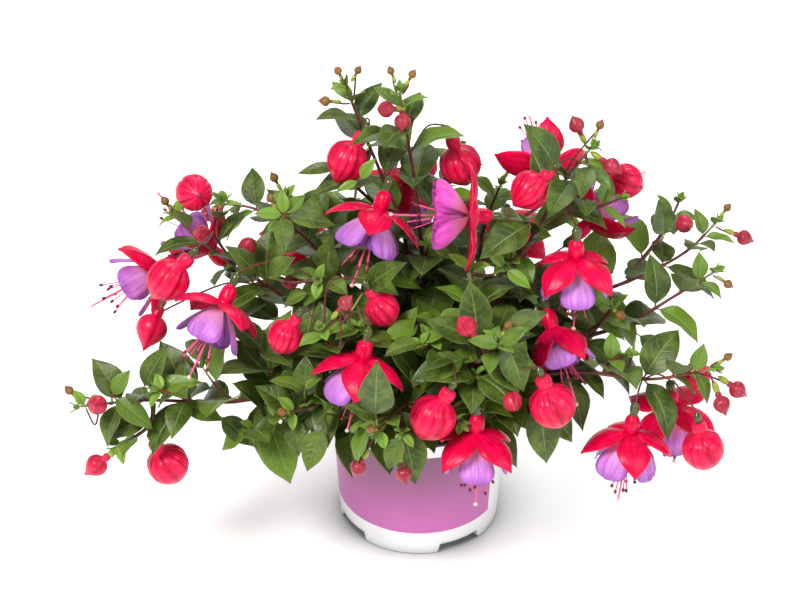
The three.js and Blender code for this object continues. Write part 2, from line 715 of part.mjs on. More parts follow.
BLOOMS.forEach((bloom, k) => {
  solids.set(`bloom_${number(k)}_calyx`, calyx(bloom));
  solids.set(`bloom_${number(k)}_corolla`, corolla(bloom));
});
BUDS.forEach((bud, k) => solids.set(`bud_${number(k)}`, balloonBud(bud)));
for (const [name, solid] of solids) hold(name, solid);

// What hangs from a shoot: where each stalk's neck is, its axis, and the profile that it carries.
function hangingOn(shoot) {
  const ovary = (size) => [
    [0, STALK.radius],
    [2.5 * size, OVARY.radius * size],
    [OVARY.length * size, OVARY.radius * size * 0.8],
  ];
  const fromBack = (point, direction, back, size) => {
    const axis = vector(direction).normalize();
    return { neck: vector(point).addScaledVector(axis, -back), axis, profile: ovary(size) };
  };
  const bloomBack = OVARY.length + GAP - BLOOM.tube[0][0];
  const budBack = ({ radius }) => radius * (1 - BUD_PROFILE[0][0]) + GAP + OVARY.length * OVARY.budShare;
  const blooms = BLOOMS.filter(({ on }) => on === shoot.name);
  const buds = BUDS.filter(({ on }) => on === shoot.name);
  return [
    ...blooms.map((bloom) => fromBack(bloom.mouth, bloom.axis, bloomBack, 1)),
    ...buds.map((bud) => fromBack(bud.middle, bud.axis, budBack(bud), OVARY.budShare)),
  ];
}

const lean = (route) => vector(route.at(-1)).sub(vector(route[0])).setZ(0).normalize();

// A shoot stands straight in its hole in the soil: its first two rings, and their frame.
function footOf(route, extra) {
  const line = lineThrough(route, STEM.samples);
  let start = 0;
  while (along(line, start).place.z < SOIL.top + STEM.clearOfSoil) start += 1;
  const low = vector(route[0]);
  const high = along(line, start).place;
  const direction = high.clone().sub(low).normalize();
  const leaning = lean(route);
  const frame = carriedFrame(direction, [leaning, UP.clone().cross(leaning)]);
  low.addScaledVector(direction, -extra);
  const rings = [low, high].map((middle) => ringAround(middle, frame, STEM.base + extra, 4));
  return { start, frame, rings };
}

// Stems, branches, flower stalks, ovaries and small buds of every shoot, then every shoot's leaves.
const shoots = SHOOTS.map((shoot, k) => {
  const foot = footOf(shoot.stem, 0);
  const { start, frame } = foot;
  const { stem: route, bare } = shoot;
  const stems = [layOutStem({ number: 10 * k, route, radius: STEM.base, bare, frame, start })];
  const stemAndFoot = [solidThrough(foot.rings), ...stemSolids(stems[0], foot.rings[1])];
  for (const solid of stemAndFoot) hold(shoot.name, solid);
  shoot.branches.forEach(([from, ...route], i) => {
    const target = vector(from).lerp(vector(route[0]), 0.3);
    const options = openSides(stems.slice(0, 1), target).map((root) => {
      const { band, side } = root;
      const first = band.place.clone().addScaledVector(sideNormal(band.frame, side), STEM.branchBase);
      const branch = layOutStem({
        number: 10 * k + i + 1,
        route: [first.toArray(), ...route],
        radius: STEM.branchBase,
        bare: STEM.branchBare,
        frame: band.frame,
      });
      return { root, branch, parts: stemSolids(branch, offSide(root)) };
    });
    const { root, branch, parts } = options.find((option) => {
      return isOut(option.root, option.branch.rings[0].points) && option.parts.every(isFree);
    });
    stems.push(branch);
    for (const solid of parts) hold(shoot.name, solid);
    root.band.sides.set(root.side, (skin, ring) => growStem(skin, branch, ring));
  });
  return { ...shoot, foot, stems };
});

for (const shoot of shoots) {
  const smallBuds = shoot.smallBuds.map(([x, y, z, radius]) => {
    const middle = new THREE.Vector3(x, y, z);
    const axis = middle.clone().sub(openSides(shoot.stems, middle)[0].band.place).normalize();
    const profile = SMALL_BUD_PROFILE.map(([run, share]) => [run * radius, share * radius]);
    return { neck: middle.addScaledVector(axis, -radius), axis, profile };
  });
  for (const stalk of [...hangingOn(shoot), ...smallBuds]) {
    const free = openSides(shoot.stems, stalk.neck)
      .slice(0, STALK.sidesTried)
      .flatMap((from) => STALK.bends.map((sideways) => ({ from, rings: stalkRings(from, stalk, sideways) })))
      .find(({ from, rings }) => isOut(from, rings[0]) && isFree(solidThrough([offSide(from), ...rings])));
    const { from, rings } = free;
    hold(shoot.name, solidThrough([offSide(from), ...rings]));
    from.band.sides.set(from.side, (skin, root) => skin.grow(root, rings));
  }
}

for (const shoot of shoots) {
  for (const stem of shoot.stems) {
    for (const band of stem.bands) {
      for (const side of leafSides(band)) {
        const start = offSide({ stem, band, side });
        const choice = CHOICES.find((option) => {
          const rings = leafRings(stem, band, side, option, LEAF.clear);
          return isOut({ band, side }, rings[0]) && isFree(solidThrough([start, ...rings]));
        });
        if (!choice) continue;
        const rings = leafRings(stem, band, side, choice);
        hold(shoot.name, solidThrough([start, ...rings]));
        band.sides.set(side, (skin, root) => skin.grow(root, rings));
      }
    }
  }
}

// Grows a stem from a ring up to its tip, with whatever grows from the sides of its bands.
function growStem(skin, stem, ring) {
  let low = skin.facing(ring, stem.rings[0].points);
  stem.rings.forEach(({ points }, i) => {
    const high = skin.ring(points);
    const sides = stem.bands.find((band) => band.ring === i - 1)?.sides ?? new Map();
    const roots = skin.band(low, high, [...sides.keys()]);
    [...sides.values()].forEach((growFrom, n) => growFrom(skin, roots[n]));
    low = high;
  });
  skin.tip(low, stem.line.points.at(-1));
}

for (const { name, foot, stems } of shoots) {
  const skin = new Skin();
  const [low, high] = foot.rings.map((points) => skin.ring(points));
  skin.cap(low, true);
  skin.band(low, high);
  growStem(skin, stems[0], high);
  solids.set(name, skin.solid());
}

// ---- pot and soil ----------------------------------------------------------------------------
function potWedge(centre, { inner, height, spread }, extra) {
  const half = radians(spread / 2) + extra / inner;
  const middle = radians(centre);
  const corner = (angle, reach) => new THREE.Vector2(reach * Math.cos(angle), reach * Math.sin(angle));
  const far = POT.rimRadius + 10;
  const near = inner - extra;
  const shape = new THREE.Shape([
    corner(middle - half, near),
    corner(middle - half, far),
    corner(middle + half, far),
    corner(middle + half, near),
  ]);
  const geometry = new THREE.ExtrudeGeometry(shape, { depth: height + extra + 2, bevelEnabled: false });
  return solidFromGeometry(geometry.translate(0, 0, -2));
}

const lathe = (profile, sides) =>
  solidFromGeometry(
    new THREE.LatheGeometry(profile.map(([r, z]) => new THREE.Vector2(r, z)), sides).rotateX(Math.PI / 2),
  );

function makePot() {
  const { height, baseRadius, wallTopRadius, rimRadius, rimDepth, wall, floor, sides, footArch } = POT;
  const under = height - rimDepth;
  const outside = lathe(
    [[0, 0], [baseRadius, 0], [wallTopRadius, under], [rimRadius, under], [rimRadius, height], [0, height]],
    sides,
  );
  const inside = lathe(
    [[0, floor], [baseRadius - wall, floor], [wallTopRadius - wall, height + 5], [0, height + 5]],
    sides,
  );
  const cuts = [];
  const roofs = [];
  const drains = [];
  for (let k = 0; k < 4; k++) {
    cuts.push(potWedge(footArch.first + 90 * k, footArch, 0));
    roofs.push(potWedge(footArch.first + 90 * k, footArch, wall));
    const angle = radians(footArch.first + 90 * k);
    const hole = new THREE.CylinderGeometry(POT.drain.radius, POT.drain.radius, 30, 6).rotateX(Math.PI / 2);
    hole.translate(POT.drain.at * Math.cos(angle), POT.drain.at * Math.sin(angle), 0);
    drains.push(solidFromGeometry(hole));
  }
  const hollow = inside.subtract(wasm.Manifold.union(roofs));
  return outside.subtract(wasm.Manifold.union([hollow, ...cuts, ...drains])).simplify(0.02);
}

function makeSoil() {
  const { top, bottom, bumps, sides } = SOIL;
  const wallAt = (z) => mix(POT.baseRadius, POT.wallTopRadius, z / (POT.height - POT.rimDepth));
  const radiusAt = (z) => wallAt(z) - POT.wall - 2 * GAP;
  const ring = (radius, z, rough, row) =>
    Array.from({ length: sides }, (_, k) => {
      const turn = (2 * Math.PI * k) / sides;
      const lift = (rough * (Math.sin(5 * turn + 2 * row) + Math.sin(8 * turn + row))) / 2;
      return new THREE.Vector3(radius * Math.cos(turn), radius * Math.sin(turn), z + lift);
    });
  const rings = [
    ring(radiusAt(bottom), bottom, 0, 0),
    ring(radiusAt(top), top - 1, 0, 0),
    ring(0.7 * radiusAt(top), top, bumps, 1),
    [new THREE.Vector3(0, 0, top + 1)],
  ];
  const holes = SHOOTS.map(({ stem }) => solidThrough(footOf(stem, 1.6 * GAP).rings));
  return solidThrough(rings).subtract(wasm.Manifold.union(holes)).simplify(0.02);
}

solids.set("pot", makePot());
solids.set("soil", makeSoil());

// ---- the scene graph -------------------------------------------------------------------------
const LOOKS = [
  ["pot", 0xf4f4f2, 0.45],
  ["soil", 0x2e2119, 0.95],
  ["shoot", 0x3f6b35, 0.55],
  ["corolla", 0x8d56c4, 0.6],
  ["bloom", 0xe3123f, 0.4],
  ["bud", 0xe3123f, 0.4],
];

const plant = new THREE.Group();
for (const [name, solid] of solids) {
  const { vertProperties, triVerts } = solid.getMesh();
  const geometry = new THREE.BufferGeometry();
  geometry.setAttribute("position", new THREE.BufferAttribute(new Float32Array(vertProperties), 3));
  geometry.setIndex(new THREE.BufferAttribute(new Uint32Array(triVerts), 1));
  geometry.computeVertexNormals();
  const [, color, roughness] = LOOKS.find(([word]) => name.includes(word));
  const mesh = new THREE.Mesh(geometry, new THREE.MeshStandardMaterial({ color, roughness, metalness: 0 }));
  mesh.name = name;
  plant.add(mesh);
}

export default plant;
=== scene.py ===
"""A bushy trailing fuchsia in a 12 cm nursery pot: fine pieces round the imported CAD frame.

Lengths are millimetres, as in the part's source, until a mesh, lamp or camera is made. +Z is up and
-Y is the plant's front. The shoots grow here by the source's own rules. Where those rules try several
places for a leaf or a stalk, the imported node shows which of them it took."""
import math
from collections import namedtuple
from types import SimpleNamespace as Facts

import bmesh
import bpy
import numpy as np
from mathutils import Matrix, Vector
from mathutils.kdtree import KDTree


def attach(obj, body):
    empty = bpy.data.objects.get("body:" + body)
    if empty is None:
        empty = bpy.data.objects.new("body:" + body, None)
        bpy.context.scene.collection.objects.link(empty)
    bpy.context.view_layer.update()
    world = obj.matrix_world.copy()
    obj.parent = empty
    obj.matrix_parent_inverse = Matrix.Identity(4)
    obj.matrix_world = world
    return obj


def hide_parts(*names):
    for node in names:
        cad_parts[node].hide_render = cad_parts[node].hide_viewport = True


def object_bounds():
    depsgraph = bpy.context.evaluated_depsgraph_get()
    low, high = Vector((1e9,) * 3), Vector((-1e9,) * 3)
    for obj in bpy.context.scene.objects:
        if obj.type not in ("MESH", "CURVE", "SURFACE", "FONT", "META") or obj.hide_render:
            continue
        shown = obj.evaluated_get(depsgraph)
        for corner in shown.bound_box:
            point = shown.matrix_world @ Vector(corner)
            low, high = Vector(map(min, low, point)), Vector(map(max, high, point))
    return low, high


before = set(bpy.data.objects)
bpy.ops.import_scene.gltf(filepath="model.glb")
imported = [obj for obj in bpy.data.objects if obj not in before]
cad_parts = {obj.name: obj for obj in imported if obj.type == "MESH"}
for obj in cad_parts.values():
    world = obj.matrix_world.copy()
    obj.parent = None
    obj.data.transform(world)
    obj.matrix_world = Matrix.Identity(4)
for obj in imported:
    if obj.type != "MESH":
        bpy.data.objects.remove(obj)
cad_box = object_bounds()

MM = 0.001
UP = np.array((0.0, 0.0, 1.0))

# ---- driving dimensions, as in the part's source -------------------------------------------------
GAP = 0.35
POT = Facts(height=96, base=52, top=57.4, rim=60, rim_depth=3, wall=1.2, floor=1.5)
FOOT_ARCH = Facts(inner=38, height=7, spread=34.5, first=30.75)
DRAIN = Facts(radius=4, at=45)
SOIL = Facts(top=86, bottom=9.5)
STEM = Facts(base=2.6, tip=1.1, samples=6, band=2.2, longest=26, clear_of_soil=6)
BRANCH = Facts(base=1.8, bare=8)
STALK = Facts(radius=0.95, bends=(0, 4, -4, 8, -8, 12, -12), sides_tried=8)
OVARY = Facts(length=9, radius=2.9, bud_share=0.8)
PAIR_GAPS = [4.5, 10, 14, 18, 24, 27, 29]
LEAF_LENGTHS = [13, 21, 31, 39, 44, 46, 47]
LEAF = Facts(width=0.57, fold=0.2, thick=1.3, spread=0.62, follow=0.35, rise=20, droop=52)
WIDEST = ((22, 0.42), (99, 0.36))  # up to this length, a CAD leaf is widest at this part of it
LEAF_CHOICES = (
    (0, 0, 1), (16, 0, 1), (-16, 0, 1), (0, 22, 1), (0, -22, 1), (14, 18, 0.85), (-14, -18, 0.85),
    (26, -14, 0.85), (-28, 14, 0.85), (20, 34, 0.7), (-22, -34, 0.7), (36, 0, 0.7), (-36, 0, 0.7),
)
TUBE_START = -12
SEPAL = Facts(root=(0, 3), length=33, width=22)
OUTER_PETAL = Facts(root=(2.2, 2.6), length=28, width=18.5, start=52, end=14)
INNER_PETAL = Facts(root=(4.6, 2.4), length=20, width=10, start=30, end=0)
STAMENS = Facts(column=9, end=40, style=50)
BUD_START = -0.56
SEAM, CREASE = 0.06, 0.055

# ---- where things grow, as in the part's source --------------------------------------------------
# A shoot has bare wood up to a length, a stem, branches and small buds, each with its radius. A bloom's
# curl is how far its sepals turn back, at their roots and at their tips, and its flare opens the petals.
Shoot = namedtuple("Shoot", "name bare stem branches small_buds")
Flower = namedtuple("Flower", "on place axis turn curl flare opened", defaults=(0, 1))
Bud = namedtuple("Bud", "on place axis radius")
SHOOTS = [Shoot(*row) for row in (
    ("top_left", 105, [(-8, 8, 58), (-7, 8, 120), (-9, 7, 205), (-24, 12, 252), (-36, 15, 284),
     (-46, 15, 316)],
     [[(-10, 8, 212), (-30, 22, 226), (-48, 34, 238)]],
     [(-58, 12, 305, 3.2), (-50, 11, 327, 2.6), (-38, 20, 322, 2.4)]),
    ("top", 105, [(6, 10, 58), (4, 8, 130), (2, 0, 193), (-2, 0, 242), (-7, 0, 280), (-13, 0, 321)],
     [[(2, 1, 200), (14, 24, 230), (26, 38, 256)]],
     [(-21, -9, 312, 5.2), (-11, -9, 303, 5.2), (-5, 5, 328, 2.6), (-18, 4, 331, 2.4)]),
    ("right_high", 100, [(20, 6, 58), (34, 0, 130), (56, -8, 184), (73, -8, 226), (91, 0, 259),
     (106, 5, 278)],
     [[(66, -8, 208), (62, -34, 224), (53, -50, 226)], [(82, -4, 243), (104, -16, 246), (124, -14, 252)]],
     [(95, 4, 293, 5), (117, -4, 268, 5.5), (110, 12, 288, 2.8)]),
    ("right_back", 45, [(24, 18, 58), (48, 18, 122), (86, 12, 152), (131, 12, 171), (168, 24, 185),
     (190, 35, 203)],
     [[(140, 14, 174), (156, 34, 196), (166, 44, 214)]],
     [(167, 22, 209, 6), (207, 33, 191, 5), (196, 42, 208, 2.6)]),
    ("right_mid", 45, [(30, -8, 58), (52, -16, 120), (86, -28, 150), (128, -30, 168), (159, -28, 189),
     (184, -25, 206)],
     [[(104, -30, 159), (112, -44, 180), (118, -54, 200)]],
     [(190, -32, 200, 2.8), (122, -60, 196, 3)]),
    ("right_low", 42, [(22, -24, 58), (40, -40, 118), (74, -58, 149), (101, -66, 158), (140, -74, 158),
     (180, -82, 172)],
     [[(104, -67, 158), (115, -75, 172), (126, -80, 182)]],
     [(184, -90, 151, 5.4), (194, -82, 156, 5.4), (172, -54, 146, 9), (187, -78, 178, 2.6)]),
    ("left_low", 42, [(-22, -18, 58), (-40, -36, 114), (-75, -62, 139), (-120, -76, 142), (-168, -86, 151),
     (-209, -94, 152)],
     [[(-146, -81, 147), (-166, -92, 136), (-187, -100, 124)], [(-128, -78, 144), (-146, -94, 160),
      (-160, -100, 170)]],
     [(-196, -100, 158, 6.2), (-199, -102, 113, 7), (-214, -88, 160, 2.8)]),
    ("left_mid", 45, [(-28, 4, 58), (-46, -6, 126), (-72, -16, 168), (-104, -20, 198), (-126, -6, 216),
     (-121, 6, 238)],
     [[(-112, -17, 203), (-134, -10, 216), (-154, 2, 230)]],
     [(-134, -24, 232, 5.5), (-106, -22, 222, 5.5), (-158, 2, 239, 2.8), (-166, -46, 176, 10)]),
    ("left_high", 60, [(-20, -8, 58), (-28, -8, 130), (-46, -12, 185), (-68, -18, 222), (-88, -20, 242)],
     [[(-48, -12, 188), (-56, -38, 208), (-62, -62, 224)]],
     [(-79, -50, 214, 4.8), (-92, -12, 250, 2.6)]),
    ("front_left", 34, [(-12, -30, 58), (-24, -46, 122), (-46, -66, 168), (-56, -82, 192), (-60, -95, 212)],
     [[(-26, -58, 144), (-56, -84, 152), (-80, -104, 154)]],
     [(-45, -91, 227, 4.8), (-84, -110, 160, 3)]),
    ("front", 34, [(0, -34, 58), (-2, -54, 120), (-8, -82, 146), (-16, -104, 154), (-27, -119, 150)],
     [[(-4, -60, 128), (3, -72, 165), (6, -85, 198)], [(-6, -76, 142), (12, -90, 148), (26, -106, 148)]],
     [(-38, -118, 124, 5), (-10, -122, 122, 5), (-30, -124, 158, 2.8)]),
    ("front_right", 34, [(12, -30, 58), (20, -46, 122), (30, -70, 160), (39, -92, 188), (46, -101, 206)],
     [[(30, -70, 161), (34, -58, 192), (31, -46, 224)], [(22, -52, 132), (46, -80, 162), (62, -98, 190)]],
     [(27, -99, 216, 6.5), (55, -110, 168, 6.3), (52, -96, 214, 2.8)]),
    ("back_left", 42, [(-20, 22, 58), (-36, 42, 122), (-70, 66, 160), (-104, 84, 178), (-132, 96, 176)],
     [[(-46, 50, 134), (-44, 84, 172), (-40, 108, 194)], [(-54, 56, 144), (-76, 40, 192), (-86, 36, 222)]],
     [(-140, 98, 166, 5), (-34, 114, 204, 3), (-92, 40, 232, 3)]),
    ("back_right", 42, [(10, 30, 58), (24, 52, 122), (52, 76, 160), (86, 96, 178), (116, 110, 174)],
     [[(20, 46, 118), (14, 84, 160), (6, 118, 178)], [(32, 60, 134), (42, 54, 186), (52, 50, 222)]],
     [(124, 114, 163, 5), (0, 126, 186, 3), (58, 54, 232, 3)]),
)]
BLOOMS = [Flower(*row) for row in (
    ("top_left", (-25, -34, 256), (-0.35, -0.45, -0.85), 13, (100, 24)),
    ("right_high", (31, -42, 257), (-1, -0.03, 0.04), 35, (116, 48), 8),
    ("top", (-8, 44, 228), (0.1, 0.3, -1), 30, (80, 60)),
    ("right_high", (94, -50, 232), (0, -0.12, -1), 42, (95, 18)),
    ("right_high", (106, 20, 210), (0.73, 0.47, 0.5), 17, (84, 34)),
    ("left_mid", (-161, -18, 202), (-0.88, -0.27, -0.39), 77, (82, 38)),
    ("left_high", (-119, -70, 212), (-0.42, -0.56, -0.71), 72, (104, 32)),
    ("front_left", (-35, -100, 193), (-0.2, -0.2, -1), 4, (96, 14)),
    ("front_right", (34, -104, 140), (0, -0.2, -1), 45, (88, 26)),
    ("right_low", (129, -92, 131), (-0.12, -0.12, -1), 84, (95, 18)),
    ("right_low", (158, -50, 120), (0.1, 0.1, -1), 40, (92, 50)),
    ("right_mid", (81, -56, 184), (0.3, -0.62, -0.75), 40, (72, -6)),
    ("left_mid", (-131, 10, 197), (-0.68, 0.33, 0.65), 69, (80, 34)),
    ("right_high", (78, 25, 249), (-0.15, 0.9, 0.15), 6, (104, 20), -12, 0.72),
    ("back_left", (-76, 100, 150), (-0.2, 0.2, -1), 15, (92, 26)),
    ("back_right", (60, 112, 148), (0.1, 0.25, -1), 40, (90, 30)),
)]
BUDS = [Bud(*row) for row in (
    ("top_left", (-45, 2, 268), (-0.5, -0.36, -0.8), 13),
    ("top", (25, 12, 259), (0.3, -0.1, -1), 13),
    ("left_mid", (-139, -4, 249), (0.3, -0.85, 0.4), 11.5),
    ("left_mid", (-153, -60, 222), (-0.7, -0.3, -0.7), 13),
    ("front_left", (-82, -84, 197), (-0.5, -0.1, -0.9), 10.5),
    ("front_left", (-23, -70, 207), (0.5, -0.1, -0.9), 10.5),
    ("front", (7, -112, 157), (-0.5, -0.15, -0.9), 14),
    ("front_right", (80, -104, 160), (0.35, -0.1, -1), 14),
    ("left_low", (-156, -90, 104), (0.4, 0, -0.9), 13),
    ("right_low", (175, -88, 114), (0.2, -0.1, -1), 13),
    ("right_high", (66, -25, 264), (-0.75, -0.5, -0.5), 12),
    ("right_high", (128, 12, 247), (0.9, 0.1, -0.5), 11),
)]


# ---- vectors and curves --------------------------------------------------------------------------
def vector(values):
    return np.array(values, float)


def unit(v):
    return v / np.linalg.norm(v)


def mix(a, b, part):
    return a + (b - a) * part


def flat_to(v, normal):
    return unit(v - normal * (v @ normal))


def draw(stem, leaf, use):
    """A fixed draw between 0 and 1, the same integer hash as in the part's source."""
    low = 0xFFFFFFFF
    h = (stem * 7919 + leaf * 104729 + use * 1299709) & low
    h = ((h ^ (h >> 15)) * 2246822519) & low
    h = ((h ^ (h >> 13)) * 3266489917) & low
    return (h ^ (h >> 16)) / 4294967296


class Line:
    """Points of a Catmull-Rom curve through a route, evenly stepped, with the length run at each."""

    def __init__(self, route, samples=STEM.samples):
        knots = [vector(p) for p in route]
        knots = [2 * knots[0] - knots[1], *knots, 2 * knots[-1] - knots[-2]]
        points = [knots[1]]
        for p0, p1, p2, p3 in zip(knots, knots[1:], knots[2:], knots[3:]):
            v1, v2 = (p2 - p0) / 2, (p3 - p1) / 2
            for t in np.arange(1, samples + 1) / samples:
                cubic = (2 * p1 - 2 * p2 + v1 + v2) * t**3 + (3 * p2 - 3 * p1 - 2 * v1 - v2) * t**2
                points.append(cubic + v1 * t + p1)
        self.points = np.array(points)
        steps = np.linalg.norm(np.diff(self.points, axis=0), axis=1)
        self.runs = np.concatenate(([0.0], np.cumsum(steps)))
        self.length = self.runs[-1]

    def at(self, run):
        """The place and the direction at a length run along it."""
        i = min(max(int(np.searchsorted(self.runs, run)), 1), len(self.runs) - 1)
        part = (run - self.runs[i - 1]) / (self.runs[i] - self.runs[i - 1])
        place = mix(self.points[i - 1], self.points[i], part)
        return place, unit(self.points[i] - self.points[i - 1])


Spot = namedtuple("Spot", "place direction frame")  # a place on a stem or twig; a band has the same


def carried(direction, frame_):
    """A frame, two directions across an axis, tilted with the axis to a new direction."""
    axis = unit(np.cross(*frame_))
    w, c = np.cross(axis, direction), axis @ direction
    return tuple(v + np.cross(w, v) + np.cross(w, np.cross(w, v)) / (1 + c) for v in frame_)


def sides_of(axis):
    first = unit(np.cross(axis, (1, 0, 0) if abs(axis[1]) > 0.9 else (0, 1, 0)))
    return first, np.cross(axis, first)


def turns_of(sides):
    return 2 * math.pi * np.arange(sides) / sides


def ring(middle, frame_, radius, sides):
    turns = turns_of(sides)
    return middle + radius * (np.outer(np.cos(turns), frame_[0]) + np.outer(np.sin(turns), frame_[1]))


def across_at(frame_, degrees):
    turn = math.radians(degrees)
    return frame_[0] * math.cos(turn) + frame_[1] * math.sin(turn)


def side_normal(frame_, side):
    return across_at(frame_, 45 + 90 * side)


def turned_about(v, axis, degrees):
    c, s = math.cos(math.radians(degrees)), math.sin(math.radians(degrees))
    return v * c + np.cross(axis, v) * s + axis * (axis @ v) * (1 - c)


# ---- meshes --------------------------------------------------------------------------------------
def placed(name, data):
    """A new object in the scene."""
    thing = bpy.data.objects.new(name, data)
    bpy.context.scene.collection.objects.link(thing)
    return thing


def stacked(*parts):
    """Rows and columns of three numbers each."""
    return np.stack(np.broadcast_arrays(*parts), axis=2)


class Piece:
    """One object, put together from closed skins: rows of points round a blade, a tube or a lathe."""

    def __init__(self, name, material, slot, *nodes):
        self.name, self.material, self.slot, self.nodes = name, material, slot, nodes
        self.points, self.places, self.tones, self.faces = [], [], [], []
        self.count = 0

    def add(self, points, places, tone=(0, 0, 0)):
        """places say where each point is on its blade, and tone is what the whole skin shares."""
        rows, columns = points.shape[:2]
        index = self.count + np.arange(rows * columns).reshape(rows, columns)
        nxt = np.roll(index, -1, axis=1)
        quads = np.stack((index[:-1], nxt[:-1], nxt[1:], index[1:]), axis=-1)
        self.faces.append(quads.reshape(-1, 4))
        self.points.append(points.reshape(-1, 3))
        self.places.append(np.broadcast_to(places, points.shape).reshape(-1, 3))
        self.tones.append(np.broadcast_to(vector(tone), points.shape).reshape(-1, 3))
        self.count += rows * columns

    def make(self):
        mesh = bpy.data.meshes.new(self.name)
        mesh.from_pydata(np.concatenate(self.points) * MM, [], np.concatenate(self.faces).tolist())
        for name, values in (("place", self.places), ("tone", self.tones)):
            attribute = mesh.attributes.new(name, "FLOAT_VECTOR", "POINT")
            attribute.data.foreach_set("vector", np.concatenate(values).astype(np.float32).ravel())
        work = bmesh.new()
        work.from_mesh(mesh)
        bmesh.ops.remove_doubles(work, verts=work.verts, dist=0.002 * MM)
        bmesh.ops.recalc_face_normals(work, faces=work.faces)
        work.to_mesh(mesh)
        work.free()
        mesh.shade_smooth()
        mesh.materials.append(self.material)
        piece = placed(self.name, mesh)
        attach(piece, "root")
        if self.nodes:
            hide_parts(*self.nodes)
        return piece


def tube(piece, places, radii, sides, tone=(0, 0, 0)):
    """A round tube through places; a radius of 0 closes an end."""
    ways = np.gradient(places, axis=0)
    frame_ = sides_of(unit(ways[0]))
    rows = []
    for middle, way, radius in zip(places, ways, radii):
        frame_ = carried(unit(way), frame_)
        rows.append(ring(middle, frame_, radius, sides))
    where = stacked((np.arange(sides) / sides)[None], np.linspace(0, 1, len(rows))[:, None], 0)
    piece.add(np.array(rows), where, tone)


def lathe(piece, origin, axis, profile, size, sides, tone, relief=None):
    """Profile gives places along the axis and radii in units of size; relief scales each radius by
    its turn and its part of the profile's length."""
    frame_ = sides_of(axis)
    runs, radii = vector(profile).T
    turns = turns_of(sides)
    part = (runs - runs[0]) / (runs[-1] - runs[0])
    reach = np.repeat(radii[:, None], sides, axis=1) * size
    groove = np.zeros(reach.shape)
    if relief:
        share = relief(turns[None, :], part[:, None])
        reach = reach * share
        groove = 1 - share
    out = np.outer(np.cos(turns), frame_[0]) + np.outer(np.sin(turns), frame_[1])
    points = origin + axis * (runs * size)[:, None, None] + out[None] * reach[:, :, None]
    piece.add(points, stacked(turns[None] / (2 * math.pi), part[:, None], groove), tone)


def smooth_profile(knots, steps):
    """A profile through knots, rounded between them."""
    return Line([(*knot, 0) for knot in knots], steps).points[:, :2]


ACROSS = vector((-1, -0.9, -0.66, -0.36, -0.1, 0, 0.1, 0.36, 0.66, 0.9))


class Arc:
    """The middle line of a blade: it leaves root at start degrees between forward and outward, and
    bends evenly to end degrees at its tip."""

    def __init__(self, root, forward, outward, start, end, length):
        self.root, self.forward, self.outward = root, forward, outward
        self.start, self.end, self.length = math.radians(start), math.radians(end), length
        self.across = unit(np.cross(forward, outward))

    def at(self, part):
        bend = self.end - self.start
        angle = self.start + bend * part
        ahead = self.length * (np.sin(angle) - math.sin(self.start)) / bend
        out = self.length * (math.cos(self.start) - np.cos(angle)) / bend
        middle = self.root + np.outer(ahead, self.forward) + np.outer(out, self.outward)
        return middle, np.outer(-np.sin(angle), self.forward) + np.outer(np.cos(angle), self.outward)


def blade(piece, arc, outline, width, thick, lift, tone):
    """A closed blade on an arc. outline gives half-widths by part of the length, and lift the rise of
    a point from its side, from -1 to 1, its part, and the half-width there, all in millimetres."""
    part, half = vector(outline).T
    half = half * width
    middle, normal = arc.at(part)
    upper = np.concatenate((ACROSS, [1.0]))
    side = np.concatenate((upper, ACROSS[:0:-1]))[None, :]
    face = np.ones(side.shape)
    face[0, len(upper):] = -1
    face[0, [0, len(upper) - 1]] = 0
    part, half = part[:, None], half[:, None]
    rise = lift(side, part, half) + face * np.minimum(thick, half) / 2 * (1 - 0.6 * side**4)
    points = middle[:, None] + arc.across * (side * half)[..., None] + normal[:, None] * rise[..., None]
    piece.add(points, stacked(side, part, (1 - face) / 2), tone)


# ---- shoots: the source's rules ------------------------------------------------------------------
class Built:
    """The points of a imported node, to tell which of its possible rings it has."""

    def __init__(self, node):
        points = {tuple(np.round(v.co, 6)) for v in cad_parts[node].data.vertices}
        self.tree = KDTree(len(points))
        for i, point in enumerate(points):
            self.tree.insert(point, i)
        self.tree.balance()

    def has(self, points):
        return all(self.tree.find(point * MM)[2] < 0.05 * MM for point in points)


def leaf_sides(band):
    return (1, 3) if band.pair % 2 else (0, 2)


def lay_out_stem(number, route, radius, bare, frame_, start=0.0):
    line = Line(route)
    stem = Facts(number=number, line=line, radius=radius, bands=[], rings=[])
    run = line.length
    for pair in range(99):
        run -= PAIR_GAPS[min(pair, len(PAIR_GAPS) - 1)]
        if run < bare:
            break
        stem.bands.insert(0, Facts(run=run, pair=pair, taken=set()))
    runs = []
    reached = start
    for band in stem.bands:
        while band.run - reached > 1.4 * STEM.longest:
            reached += STEM.longest
            runs.append(reached)
        band.ring = len(runs)
        reached = band.run + STEM.band / 2
        runs += [reached - STEM.band, reached]
    for run in runs:
        place, direction = line.at(run)
        frame_ = carried(direction, frame_)
        points = ring(place, frame_, mix(radius, STEM.tip, run / line.length), 4)
        stem.rings.append(Facts(frame=frame_, points=points))
    for band in stem.bands:
        band.place, band.direction = line.at(band.run)
        band.frame = stem.rings[band.ring].frame
    return stem


def open_sides(stems, target):
    """The sides of stems that hold nothing, those that are near to a target and face it first."""
    found = []
    for stem in stems:
        for band in stem.bands:
            way = target - band.place
            reach = np.linalg.norm(way)
            for side in {0, 1, 2, 3} - band.taken - set(leaf_sides(band)):
                facing = 0.3 * (way / reach) @ (band.direction + side_normal(band.frame, side))
                found.append((reach * (1.6 - facing), len(found), band, side))
    return [(band, side) for _, _, band, side in sorted(found, key=lambda row: row[:2])]


